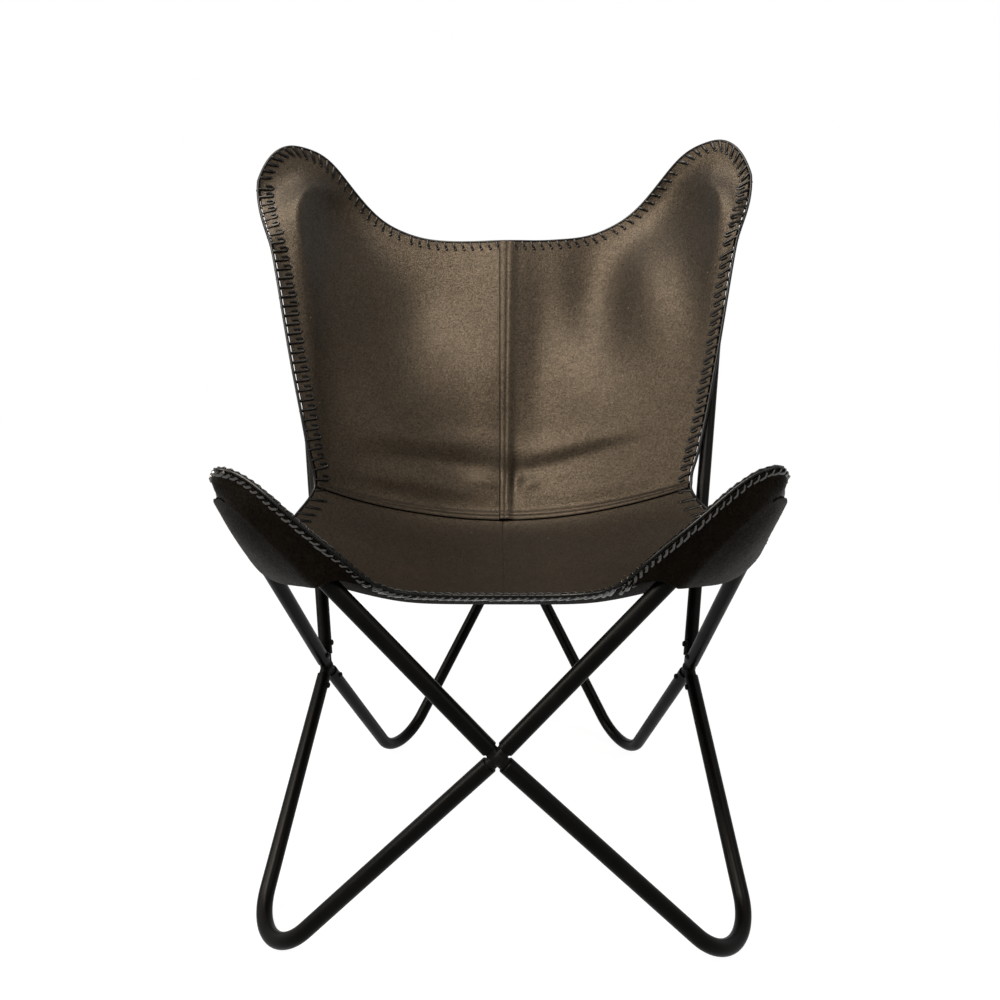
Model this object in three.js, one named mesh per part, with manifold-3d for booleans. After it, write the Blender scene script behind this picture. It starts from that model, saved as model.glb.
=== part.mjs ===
// Butterfly sling chair: eight bent steel tubes, plugged and screwed onto four cross connectors,
// with a leather sling whose pockets slip over the four upper corners of the frame.
// Millimetres, +Z up, the chair faces -Y, and +X is the right-hand side of someone looking at it.
import * as THREE from "three";
import { mergeVertices } from "three/addons/utils/BufferGeometryUtils.js";
import Module from "manifold-3d";

const wasm = await Module();
wasm.setup();

// Steel tube
const TUBE_DIAMETER = 17;
const TUBE_WALL = 1.5;
const TUBE_SIDES = 12;
const BEND_STEPS = 9;
const FRONT_FOOT_BEND = 61;
const BACK_FOOT_BEND = 66;
const ARM_BEND = 44;
const EAR_BEND = 80;
const FOOT_FLAT_DEPTH = 0.5;
const TUBE_END_GAP = 1.5;

// Where the centre lines of two tubes cross, right half of the chair
const FRONT_CROSS_Y = -282;
const FRONT_CROSS_Z = 227;
const SIDE_CROSS_X = 233.5;
const SIDE_CROSS_Y = 37.5;
const SIDE_CROSS_Z = 203.5;
const BACK_CROSS_Y = 439;
const BACK_CROSS_Z = 289.5;

// Where the two straight legs of each tube would meet without the bend, right half of the chair
const FRONT_FOOT_X = 263;
const FRONT_FOOT_Y = -257;
const BACK_FOOT_X = 178;
const BACK_FOOT_Y = 257;
const ARM_X = 269;
const ARM_Y = -276;
const ARM_Z = 516.5;
const EAR_X = 342;
const EAR_Y = 370;
const EAR_Z = 1064;

// Cross connectors and their screws
const FIT_CLEARANCE = 0.3;
const PLUG_LENGTH = 40;
const HUB_DIAMETER = 17;
const PLUG_SIDES = 12;
const SCREW_SET_BACK = 14;
const SCREW_SHANK_DIAMETER = 4;
const SCREW_DEPTH_IN_PLUG = 5.5;
const SCREW_HEAD_DIAMETER = 7.4;
const SCREW_HEAD_HEIGHT = 2.4;
const SCREW_SOCKET_DIAMETER = 2.8;
const SCREW_SOCKET_DEPTH = 1.2;
const SCREW_SIDES = 8;
// The head's rim and crown, as shares of its height, and the crown's width as a share of the head's
const HEAD_RIM_SHARE = 0.4;
const HEAD_CROWN_SHARE = 0.85;
const HEAD_CROWN_WIDTH = 0.75;

// Leather
const LEATHER = 2.4;
const SEAM_LAP = 10;
const LAP_RAMP = 12;
const LEATHER_ON_TUBE = 0.5;
const ARM_FLANGE = 31;
const ARM_FLANGE_DROP = 3.1;
const EDGE_SAG = 48;
const EDGE_BULGE = 16;
const POCKET_REACH = 92;

// Finishes
const POWDER_COAT = { color: 0x131313, roughness: 0.45, metalness: 0.3 };
const CONNECTOR_COAT = { color: 0x1b1b1b, roughness: 0.5, metalness: 0.4 };
const SCREW_COAT = { color: 0x242424, roughness: 0.4, metalness: 0.6 };
const WAXED_HIDE = { color: 0x3b332a, roughness: 0.5, metalness: 0 };
const POCKET_HIDE = { color: 0x241e19, roughness: 0.6, metalness: 0 };

const tubeRadius = TUBE_DIAMETER / 2;
const boreRadius = tubeRadius - TUBE_WALL;
const plugRadius = boreRadius - FIT_CLEARANCE;

const chair = new THREE.Group();
chair.name = "butterfly_sling_chair";
const right = new THREE.Group();
const left = new THREE.Group();
const middle = new THREE.Group();
chair.add(right, left, middle);

// Solids: a closed three.js geometry to a manifold and back
function solidOf(geometry) {
  const bare = geometry.clone();
  bare.deleteAttribute("normal");
  bare.deleteAttribute("uv");
  const merged = mergeVertices(bare, 1e-4);
  const mesh = new wasm.Mesh({
    numProp: 3,
    vertProperties: Float32Array.from(merged.attributes.position.array),
    triVerts: Uint32Array.from(merged.index.array),
  });
  return new wasm.Manifold(mesh);
}

function geometryOf(solid) {
  const mesh = solid.getMesh();
  const geometry = new THREE.BufferGeometry();
  geometry.setAttribute("position", new THREE.BufferAttribute(mesh.vertProperties, mesh.numProp));
  geometry.setIndex(new THREE.BufferAttribute(mesh.triVerts, 1));
  geometry.computeVertexNormals();
  return geometry;
}

function addPiece(group, name, geometry, finish) {
  const mesh = new THREE.Mesh(geometry, new THREE.MeshStandardMaterial(finish));
  mesh.name = name;
  group.add(mesh);
}

function mirrored(point) {
  return new THREE.Vector3(-point.x, point.y, point.z);
}

// A rod of given radius from one point towards another
function rod(from, to, radius, sides) {
  const along = new THREE.Vector3().subVectors(to, from);
  const geometry = new THREE.CylinderGeometry(radius, radius, along.length(), sides);
  geometry.translate(0, along.length() / 2, 0);
  const turn = new THREE.Quaternion().setFromUnitVectors(new THREE.Vector3(0, 1, 0), along.normalize());
  geometry.applyQuaternion(turn);
  geometry.translate(from.x, from.y, from.z);
  return geometry;
}

// A tube's centre line: straight, one round bend, straight. Steps fall on the bend, not on the straights.
class BentRoute extends THREE.Curve {
  constructor(start, corner, end, bend) {
    super();
    this.start = start;
    this.end = end;
    const towardsStart = new THREE.Vector3().subVectors(start, corner).normalize();
    const towardsEnd = new THREE.Vector3().subVectors(end, corner).normalize();
    const halfAngle = towardsStart.angleTo(towardsEnd) / 2;
    const bisector = new THREE.Vector3().addVectors(towardsStart, towardsEnd).normalize();
    const setBack = bend / Math.tan(halfAngle);
    this.bend = bend;
    this.centre = corner.clone().addScaledVector(bisector, bend / Math.sin(halfAngle));
    this.bendStart = corner.clone().addScaledVector(towardsStart, setBack);
    this.outward = bisector.clone().negate();
    this.across = new THREE.Vector3().subVectors(towardsStart, towardsEnd).normalize();
    this.halfSweep = Math.PI / 2 - halfAngle;
    this.bendEnd = corner.clone().addScaledVector(towardsEnd, setBack);
    this.top = this.onBend(0);
  }

  // angle runs from -halfSweep at the start's side to +halfSweep at the end's side
  onBend(angle) {
    return this.centre.clone()
      .addScaledVector(this.outward, this.bend * Math.cos(angle))
      .addScaledVector(this.across, -this.bend * Math.sin(angle));
  }

  getPoint(t) {
    const step = t * (BEND_STEPS + 2);
    if (step <= 1) {
      return this.start.clone().lerp(this.bendStart, step);
    }
    if (step >= BEND_STEPS + 1) {
      return this.bendEnd.clone().lerp(this.end, step - BEND_STEPS - 1);
    }
    const share = (step - 1) / BEND_STEPS;
    return this.onBend((2 * share - 1) * this.halfSweep);
  }

  getTangent(t) {
    const step = t * (BEND_STEPS + 2);
    if (step < 1) {
      return new THREE.Vector3().subVectors(this.bendStart, this.start).normalize();
    }
    if (step > BEND_STEPS + 1) {
      return new THREE.Vector3().subVectors(this.end, this.bendEnd).normalize();
    }
    const angle = (2 * (step - 1) / BEND_STEPS - 1) * this.halfSweep;
    return new THREE.Vector3()
      .addScaledVector(this.outward, -Math.sin(angle))
      .addScaledVector(this.across, -Math.cos(angle))
      .normalize();
  }

  getPointAt(t) {
    return this.getPoint(t);
  }

  getTangentAt(t) {
    return this.getTangent(t);
  }

  centreLine() {
    return this.getSpacedPoints(BEND_STEPS + 2);
  }
}

function sweep(route, radius, sides) {
  const outline = [];
  for (let i = 0; i < sides; i += 1) {
    const angle = (2 * Math.PI * i) / sides;
    outline.push(new THREE.Vector2(radius * Math.cos(angle), radius * Math.sin(angle)));
  }
  return new THREE.ExtrudeGeometry(new THREE.Shape(outline), { steps: BEND_STEPS + 2, extrudePath: route });
}

// Places of the frame, right half
const frontCross = new THREE.Vector3(0, FRONT_CROSS_Y, FRONT_CROSS_Z);
const backCross = new THREE.Vector3(0, BACK_CROSS_Y, BACK_CROSS_Z);
const sideCross = new THREE.Vector3(SIDE_CROSS_X, SIDE_CROSS_Y, SIDE_CROSS_Z);
const armCorner = new THREE.Vector3(ARM_X, ARM_Y, ARM_Z);
const earCorner = new THREE.Vector3(EAR_X, EAR_Y, EAR_Z);

// A foot's corner is lowered until the bend's underside just reaches the floor, less the flat
const FOOT_ROUNDS = 30;
const FOOT_SAMPLES = 4 * (BEND_STEPS + 2);

function footCorner(x, y, crossA, crossB, bend) {
  const lowest = tubeRadius - FOOT_FLAT_DEPTH;
  const corner = new THREE.Vector3(x, y, lowest - bend);
  for (let round = 0; round < FOOT_ROUNDS; round += 1) {
    const places = new BentRoute(crossA, corner, crossB, bend).getSpacedPoints(FOOT_SAMPLES);
    corner.z += lowest - Math.min(...places.map((place) => place.z));
  }
  return corner;
}

const frontFootCorner = footCorner(FRONT_FOOT_X, FRONT_FOOT_Y, frontCross, sideCross, FRONT_FOOT_BEND);
const backFootCorner = footCorner(BACK_FOOT_X, BACK_FOOT_Y, sideCross, backCross, BACK_FOOT_BEND);

// At each crossing four tubes end, just far enough out for their rims to clear each other
function crossing(place, corners) {
  const directions = corners.map((corner) => new THREE.Vector3().subVectors(corner, place).normalize());
  let narrowest = Math.PI;
  for (const one of directions) {
    for (const other of directions) {
      if (one !== other) {
        narrowest = Math.min(narrowest, one.angleTo(other));
      }
    }
  }
  return { place, directions, rim: tubeRadius / Math.tan(narrowest / 2) + TUBE_END_GAP };
}

const frontCrossing = crossing(frontCross, [
  armCorner, mirrored(armCorner), frontFootCorner, mirrored(frontFootCorner),
]);
const sideCrossing = crossing(sideCross, [armCorner, earCorner, frontFootCorner, backFootCorner]);
const backCrossing = crossing(backCross, [
  earCorner, mirrored(earCorner), backFootCorner, mirrored(backFootCorner),
]);

function tubeEnd(cross, corner) {
  const along = new THREE.Vector3().subVectors(corner, cross.place).normalize();
  return cross.place.clone().addScaledVector(along, cross.rim);
}

function tubeRoute(crossA, corner, crossB, bend) {
  return new BentRoute(tubeEnd(crossA, corner), corner, tubeEnd(crossB, corner), bend);
}

const armRoute = tubeRoute(frontCrossing, armCorner, sideCrossing, ARM_BEND);
const earRoute = tubeRoute(sideCrossing, earCorner, backCrossing, EAR_BEND);
const frontFootRoute = tubeRoute(frontCrossing, frontFootCorner, sideCrossing, FRONT_FOOT_BEND);
const backFootRoute = tubeRoute(sideCrossing, backFootCorner, backCrossing, BACK_FOOT_BEND);

// Screws: each pins one tube to one plug, with its head on the side turned to the inside of the chair
function screwPlaces(cross, inward) {
  return cross.directions.map((along) => {
    const axis = inward.clone().addScaledVector(along, -inward.dot(along)).normalize();
    const onAxis = cross.place.clone().addScaledVector(along, cross.rim + SCREW_SET_BACK);
    return { axis, onAxis };
  });
}

const frontScrews = screwPlaces(frontCrossing, new THREE.Vector3(0, 1, 0));
const sideScrews = screwPlaces(sideCrossing, new THREE.Vector3(-1, 0, 0));
const backScrews = screwPlaces(backCrossing, new THREE.Vector3(0, -1, 0));

function screwHole(screw) {
  const innerEnd = plugRadius - SCREW_DEPTH_IN_PLUG - FIT_CLEARANCE;
  const from = screw.onAxis.clone().addScaledVector(screw.axis, innerEnd);
  const to = screw.onAxis.clone().addScaledVector(screw.axis, TUBE_DIAMETER);
  return solidOf(rod(from, to, SCREW_SHANK_DIAMETER / 2 + FIT_CLEARANCE, SCREW_SIDES));
}

function screwGeometry(screw) {
  const shank = SCREW_SHANK_DIAMETER / 2;
  const head = SCREW_HEAD_DIAMETER / 2;
  const socket = SCREW_SOCKET_DIAMETER / 2;
  const seat = tubeRadius + FIT_CLEARANCE;
  const tip = plugRadius - SCREW_DEPTH_IN_PLUG;
  const outline = [
    new THREE.Vector2(0, tip),
    new THREE.Vector2(shank, tip),
    new THREE.Vector2(shank, seat),
    new THREE.Vector2(head, seat),
    new THREE.Vector2(head, seat + SCREW_HEAD_HEIGHT * HEAD_RIM_SHARE),
    new THREE.Vector2(head * HEAD_CROWN_WIDTH, seat + SCREW_HEAD_HEIGHT * HEAD_CROWN_SHARE),
    new THREE.Vector2(socket, seat + SCREW_HEAD_HEIGHT),
    new THREE.Vector2(socket, seat + SCREW_HEAD_HEIGHT - SCREW_SOCKET_DEPTH),
    new THREE.Vector2(0, seat + SCREW_HEAD_HEIGHT - SCREW_SOCKET_DEPTH),
  ];
  const geometry = new THREE.LatheGeometry(outline, SCREW_SIDES);
  geometry.applyQuaternion(new THREE.Quaternion().setFromUnitVectors(new THREE.Vector3(0, 1, 0), screw.axis));
  geometry.translate(screw.onAxis.x, screw.onAxis.y, screw.onAxis.z);
  return geometryOf(solidOf(geometry));
}

// Tubes: outside less bore, screw holes and, on a foot, the flat that it stands on
function tubeGeometry(route, screws, standsOnFloor) {
  const overrun = TUBE_END_GAP;
  const boreStart = route.start.clone().addScaledVector(route.getTangent(0), -overrun);
  const boreEnd = route.end.clone().addScaledVector(route.getTangent(1), overrun);
  const bore = Object.assign(Object.create(BentRoute.prototype), route, { start: boreStart, end: boreEnd });
  let solid = solidOf(sweep(route, tubeRadius, TUBE_SIDES));
  solid = solid.subtract(solidOf(sweep(bore, boreRadius, TUBE_SIDES)));
  for (const screw of screws) {
    solid = solid.subtract(screwHole(screw));
  }
  if (standsOnFloor) {
    const below = new THREE.BoxGeometry(4 * route.bend, 4 * route.bend, TUBE_DIAMETER);
    below.translate(route.top.x, route.top.y, -TUBE_DIAMETER / 2);
    solid = solid.subtract(solidOf(below));
  }
  return geometryOf(solid);
}

function connectorGeometry(cross, screws) {
  const hub = new THREE.SphereGeometry(HUB_DIAMETER / 2, PLUG_SIDES, PLUG_SIDES / 2);
  hub.translate(cross.place.x, cross.place.y, cross.place.z);
  let solid = solidOf(hub);
  for (const along of cross.directions) {
    const tip = cross.place.clone().addScaledVector(along, cross.rim + PLUG_LENGTH);
    solid = solid.add(solidOf(rod(cross.place, tip, plugRadius, PLUG_SIDES)));
  }
  for (const screw of screws) {
    solid = solid.subtract(screwHole(screw));
  }
  return geometryOf(solid);
}

// A mirrored copy with its faces still pointing out
function mirrorGeometry(geometry) {
  const copy = geometry.clone();
  copy.scale(-1, 1, 1);
  const index = copy.index.array;
  for (let i = 0; i < index.length; i += 3) {
    const first = index[i];
    index[i] = index[i + 1];
    index[i + 1] = first;
  }
  copy.computeVertexNormals();
  return copy;
}

function addPair(name, geometry, finish) {
  addPiece(right, `${name}_right`, geometry, finish);
  addPiece(left, `${name}_left`, mirrorGeometry(geometry), finish);
}

// In the order of each crossing's corners, of which the left half's copies are mirrored later
const [armAtFront, , footAtFront] = frontScrews;
const [armAtSide, earAtSide, frontFootAtSide, backFootAtSide] = sideScrews;
const [earAtBack, , footAtBack] = backScrews;
const armScrews = [armAtFront, armAtSide];
const earScrews = [earAtSide, earAtBack];
const frontFootScrews = [footAtFront, frontFootAtSide];
const backFootScrews = [backFootAtSide, footAtBack];

addPair("front_upper_tube", tubeGeometry(armRoute, armScrews, false), POWDER_COAT);
addPair("back_upper_tube", tubeGeometry(earRoute, earScrews, false), POWDER_COAT);
addPair("front_foot_tube", tubeGeometry(frontFootRoute, frontFootScrews, true), POWDER_COAT);
addPair("back_foot_tube", tubeGeometry(backFootRoute, backFootScrews, true), POWDER_COAT);

addPiece(middle, "front_cross_connector", connectorGeometry(frontCrossing, frontScrews), CONNECTOR_COAT);
addPiece(middle, "back_cross_connector", connectorGeometry(backCrossing, backScrews), CONNECTOR_COAT);
addPair("side_cross_connector", connectorGeometry(sideCrossing, sideScrews), CONNECTOR_COAT);

const screwNames = {
  arm_to_front_cross_screw: armAtFront,
  foot_to_front_cross_screw: footAtFront,
  arm_to_side_cross_screw: armAtSide,
  ear_to_side_cross_screw: earAtSide,
  front_foot_to_side_cross_screw: frontFootAtSide,
  back_foot_to_side_cross_screw: backFootAtSide,
  ear_to_back_cross_screw: earAtBack,
  foot_to_back_cross_screw: footAtBack,
};
for (const [name, screw] of Object.entries(screwNames)) {
  addPair(name, screwGeometry(screw), SCREW_COAT);
}

// The sling hangs as a bucket between the four upper corners. Its shape is a loft: each station is one
// cross section, from the middle line out to the side edge, and the stations run from the ears down the
// back, over the seam and along the seat to the arms.

// Back edge stations: share of the way up the ear tube's side leg, and how far the edge stands outside it
const BACK_EDGE_STATIONS = [
  { up: 0.829, outside: 34 },
  { up: 0.737, outside: 44 },
  { up: 0.606, outside: 28 },
  { up: 0.445, outside: 11 },
  { up: 0.321, outside: -5 },
  { up: 0.2515, outside: -14 },
];
// Seat edge stations: share of the way from the waist to the arm's tip
const SEAT_EDGE_STATIONS = [0.17, 0.39, 0.68, 0.96, 1.13];
// How far the middle line lies behind and below the edge at each station
const BUCKET_DEPTH = [
  { back: 70, down: 22 },
  { back: 104, down: 26 },
  { back: 112, down: 17 },
  { back: 118, down: 6 },
  { back: 115, down: 18 },
  { back: 82, down: 53 },
  { back: 45, down: 64 },
  { back: 6, down: 66 },
  { back: 0, down: 78 },
  { back: 0, down: 93 },
  { back: 4, down: 100 },
];
// Each cross section is flat over this share of its half width, and then rises with this power
const SECTION_SHAPE = [
  { flat: 0.7, power: 1.15 },
  { flat: 0.66, power: 1.2 },
  { flat: 0.45, power: 1.4 },
  { flat: 0.15, power: 1.8 },
  { flat: 0, power: 2 },
  { flat: 0, power: 2 },
  { flat: 0, power: 2 },
  { flat: 0.1, power: 1.9 },
  { flat: 0.25, power: 1.6 },
  { flat: 0.36, power: 1.2 },
  { flat: 0.36, power: 1.2 },
];
const LAST_STATION = BUCKET_DEPTH.length - 1;
const SEAM_STATION = BACK_EDGE_STATIONS.length - 1;

const edgePoints = BACK_EDGE_STATIONS.map(({ up, outside }) => {
  const onTube = sideCross.clone().lerp(earCorner, up);
  onTube.x += outside;
  onTube.y -= tubeRadius + LEATHER / 2 + LEATHER_ON_TUBE;
  return onTube;
});
const waist = edgePoints[edgePoints.length - 1];
const armTip = armRoute.top.clone().add(new THREE.Vector3(ARM_FLANGE, 0, -ARM_FLANGE_DROP));
for (const share of SEAT_EDGE_STATIONS) {
  const point = waist.clone().lerp(armTip, share);
  point.x += 4 * EDGE_BULGE * share * (1 - share);
  point.z -= 4 * EDGE_SAG * share * (1 - share);
  edgePoints.push(point);
}
const middlePoints = edgePoints.map((edge, i) => {
  return new THREE.Vector3(0, edge.y + BUCKET_DEPTH[i].back, edge.z - BUCKET_DEPTH[i].down);
});
const shapePoints = SECTION_SHAPE.map(({ flat, power }) => new THREE.Vector3(flat, power, 0));

function smoothThrough(points) {
  return new THREE.CatmullRomCurve3(points, false, "catmullrom", 0.5);
}

const edgeCurve = smoothThrough(edgePoints);
const middleCurve = smoothThrough(middlePoints);
const shapeCurve = smoothThrough(shapePoints);

// Place on the bare loft: across runs from 0 at the middle line to 1 at the edge, station from 0 to the last
function loftPoint(across, station) {
  const share = THREE.MathUtils.clamp(station / LAST_STATION, 0, 1);
  const edge = edgeCurve.getPoint(share);
  const mid = middleCurve.getPoint(share);
  const shape = shapeCurve.getPoint(share);
  const beyond = Math.max(0, Math.abs(across) - shape.x) / (1 - shape.x);
  const lift = beyond ** shape.y;
  return new THREE.Vector3(
    edge.x * across,
    mid.y + (edge.y - mid.y) * lift,
    mid.z + (edge.z - mid.z) * lift,
  );
}

// Normal of the loft, towards the sitter
function loftNormal(across, station) {
  const step = 0.02;
  const alongAcross = loftPoint(across + step, station).sub(loftPoint(across - step, station));
  const alongStation = loftPoint(across, station + step).sub(loftPoint(across, station - step));
  return alongStation.cross(alongAcross).normalize();
}

// Outlines of the cut leather, and the lines where the pockets' mouths lie, as station over share of half width
const TOP_EDGE = [
  [-0.05, 1.41], [0.2, 1.4], [0.36, 1.35], [0.45, 1.25], [0.545, 1.07], [0.615, 0.77], [0.69, 0.38],
  [0.76, 0.08], [0.83, 0], [0.9, 0], [0.95, 0.22], [0.975, 0.45], [0.99, 0.68], [1, 1],
];
const EAR_MOUTH = [[0, 1.6], [0.45, 1.55], [1, 1.85]];
const ARM_MOUTH = [
  [0, 8.6], [0.3, 8.85], [0.45, 9.5], [0.51, 9.62], [0.58, 9.3], [0.72, 8.7], [0.9, 8.15], [1, 7.9],
];
const FRONT_EDGE = [
  [-0.05, 9], [0.2, 9.02], [0.34, 9.15], [0.42, 9.45], [0.5, 9.8], [0.58, 9.95], [0.72, 9.98],
  [0.84, 9.93], [0.92, 9.82], [0.97, 9.62], [1, 9.2],
];

function outlineAt(outline, across) {
  let i = 0;
  while (i + 2 < outline.length && across > outline[i + 1][0]) {
    i += 1;
  }
  const [fromAcross, from] = outline[i];
  const [toAcross, to] = outline[i + 1];
  const slope = (k) => {
    const before = outline[Math.max(k - 1, 0)];
    const after = outline[Math.min(k + 1, outline.length - 1)];
    return (after[1] - before[1]) / (after[0] - before[0]);
  };
  const width = toAcross - fromAcross;
  const t = THREE.MathUtils.clamp((across - fromAcross) / width, 0, 1);
  const hermite = (2 * t ** 3 - 3 * t ** 2 + 1) * from + (3 * t ** 2 - 2 * t ** 3) * to;
  return hermite + width * ((t ** 3 - 2 * t ** 2 + t) * slope(i) + (t ** 3 - t ** 2) * slope(i + 1));
}

// One grid of places covers half the sling: columns from the middle line to the side edge, rows from the top
// edge past the ear pocket's mouth to the seam, and past the arm pocket's mouth to the front edge
const stationLength = middlePoints[SEAM_STATION].distanceTo(middlePoints[SEAM_STATION + 1]);
const lapStations = SEAM_LAP / 2 / stationLength;
const rampStations = LAP_RAMP / stationLength;
const lapShare = SEAM_LAP / 2 / waist.x;
const rampShare = (SEAM_LAP / 2 + LAP_RAMP) / waist.x;
const COLUMNS = [
  0, lapShare, rampShare, 0.17, 0.28, 0.39, 0.45, 0.51, 0.58, 0.65, 0.71, 0.77, 0.82, 0.87, 0.91, 0.95, 0.98, 1,
];
const LAP_COLUMN = 1;
const EAR_POCKET_COLUMN = 6;
const ARM_POCKET_COLUMN = 6;
const EAR_ROWS = 8;
const BACK_ROWS = 10;
const SEAT_ROWS = 8;
const ARM_ROWS = 8;
const LAP_ROW = EAR_ROWS + BACK_ROWS + 1;
const ARM_MOUTH_ROW = LAP_ROW + 1 + SEAT_ROWS;

function stationsAt(across) {
  const stops = [
    { station: outlineAt(TOP_EDGE, across), rows: 0 },
    { station: outlineAt(EAR_MOUTH, across), rows: EAR_ROWS },
    { station: SEAM_STATION - lapStations - rampStations, rows: BACK_ROWS },
    { station: SEAM_STATION - lapStations, rows: 1 },
    { station: SEAM_STATION + lapStations, rows: 1 },
    { station: outlineAt(ARM_MOUTH, across), rows: SEAT_ROWS },
    { station: outlineAt(FRONT_EDGE, across), rows: ARM_ROWS },
  ];
  const stations = [stops[0].station];
  for (let k = 1; k < stops.length; k += 1) {
    for (let row = 1; row <= stops[k].rows; row += 1) {
      stations.push(THREE.MathUtils.lerp(stops[k - 1].station, stops[k].station, row / stops[k].rows));
    }
  }
  return stations;
}

// Places along the centre lines of the upper tubes, which carry the leather. A place is in the pocket if it
// lies on the bend or no farther from the bend than the pocket reaches down the legs.
const PLACE_STEP = 4;
const passReach = 7 * TUBE_DIAMETER;
const layReach = 4 * TUBE_DIAMETER;
const layDistance = tubeRadius + LEATHER / 2 + LEATHER_ON_TUBE;
const tubePlaces = [];
for (const route of [armRoute, earRoute]) {
  const line = route.centreLine();
  for (let i = 0; i + 1 < line.length; i += 1) {
    const count = Math.ceil(line[i].distanceTo(line[i + 1]) / PLACE_STEP);
    for (let k = 0; k < count; k += 1) {
      const place = line[i].clone().lerp(line[i + 1], k / count);
      const onLeg = i === 0 || i === line.length - 2;
      const fromBend = Math.min(place.distanceTo(route.bendStart), place.distanceTo(route.bendEnd));
      tubePlaces.push({ place, inPocket: !onLeg || fromBend < POCKET_REACH });
    }
  }
}

// Tension: each free point rises to its need or to a share of its neighbours' mean
const TAUT_ROUNDS = 60;

function drawTaut(need, held, stiffness) {
  const height = need.map((row) => row.slice());
  const rows = need.length;
  const columns = need[0].length;
  for (let round = 0; round < TAUT_ROUNDS; round += 1) {
    for (let i = 0; i < rows; i += 1) {
      for (let j = 0; j < columns; j += 1) {
        if (!held(i, j)) {
          const above = height[Math.max(i - 1, 0)][j];
          const below = height[Math.min(i + 1, rows - 1)][j];
          const inner = height[i][Math.max(j - 1, 0)];
          const outer = height[i][Math.min(j + 1, columns - 1)];
          height[i][j] = Math.max(need[i][j], (stiffness * (above + below + inner + outer)) / 4);
        }
      }
    }
  }
  return height;
}

function raised(points, directions, height) {
  return points.map((row, i) => row.map((point, j) => {
    return point.clone().addScaledVector(directions[i][j], height[i][j]);
  }));
}

// How far a point has to move along a direction to come past the tubes in the pocket
function passDistance(point, direction) {
  let pass = 0;
  for (const { place, inPocket } of tubePlaces) {
    const offset = place.clone().sub(point);
    const along = offset.dot(direction);
    const aside = offset.addScaledVector(direction, -along).length();
    if (inPocket && along > 0 && along < passReach && aside < layDistance) {
      pass = Math.max(pass, along + Math.sqrt(layDistance ** 2 - aside ** 2));
    }
  }
  return pass;
}

// Lays a sheet over the tubes: every facet is raised along its points' directions until the tubes lie behind it
const LAY_ROUNDS = 40;
const POCKET_EASE = 16;
const LAY_TOLERANCE = 0.02;
const STRAIGHT_AHEAD = 0.97;
const LEAST_SHARE = 0.1;

function layOver(bare, directions, held, stiffness, firstNeed, mostExtra, passes) {
  const need = firstNeed.map((row) => row.slice());
  const most = Math.max(...need.flat()) + mostExtra;
  const triangle = new THREE.Triangle();
  const facing = new THREE.Vector3();
  const closest = new THREE.Vector3();
  const offset = new THREE.Vector3();
  const weights = new THREE.Vector3();
  let height = need;
  let points = bare;
  let clear = false;

  function lackBetween(place) {
    triangle.closestPointToPoint(place, closest);
    offset.subVectors(place, closest);
    const distance = offset.length();
    if (passes && offset.dot(facing) > STRAIGHT_AHEAD * distance && distance < layReach) {
      return layDistance + distance;
    }
    return layDistance - distance;
  }

  function layFacet(corners) {
    const [a, b, c] = corners.map(([i, j]) => points[i][j]);
    triangle.set(a, b, c);
    triangle.getNormal(facing);
    const [row, column] = corners[0];
    if (facing.dot(directions[row][column]) < 0) {
      facing.negate();
    }
    const reach = layReach + Math.max(a.distanceTo(b), a.distanceTo(c));
    for (const { place } of tubePlaces) {
      if (place.distanceToSquared(a) < reach * reach) {
        const lack = lackBetween(place);
        if (lack > LAY_TOLERANCE) {
          clear = false;
          triangle.getBarycoord(closest, weights);
          const shares = weights.toArray().map((weight, k) => (held(...corners[k]) ? 0 : weight));
          const spread = shares.reduce((sum, share) => sum + share * share, 0);
          corners.forEach(([i, j], k) => {
            if (shares[k] > LEAST_SHARE) {
              const lift = Math.min(height[i][j] + (lack * shares[k]) / spread, most);
              need[i][j] = Math.max(need[i][j], lift);
            }
          });
        }
      }
    }
  }

  for (let round = 0; round < LAY_ROUNDS && !clear; round += 1) {
    clear = true;
    height = drawTaut(need, held, stiffness);
    points = raised(bare, directions, height);
    for (let i = 0; i + 1 < bare.length; i += 1) {
      for (let j = 0; j + 1 < bare[0].length; j += 1) {
        layFacet([[i, j], [i + 1, j], [i + 1, j + 1]]);
        layFacet([[i, j], [i + 1, j + 1], [i, j + 1]]);
      }
    }
  }
  return points;
}

const SLING_STIFFNESS = 0.9;
const columnStations = COLUMNS.map((across) => stationsAt(across));
const rowNumbers = columnStations[0].map((_, i) => i);
const loftGrid = rowNumbers.map((i) => COLUMNS.map((across, j) => loftPoint(across, columnStations[j][i])));
const normalGrid = rowNumbers.map((i) => COLUMNS.map((across, j) => loftNormal(across, columnStations[j][i])));
const noNeed = loftGrid.map((row) => row.map(() => 0));
const slingGrid = layOver(loftGrid, normalGrid, () => false, SLING_STIFFNESS, noNeed, layReach, true);

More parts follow.
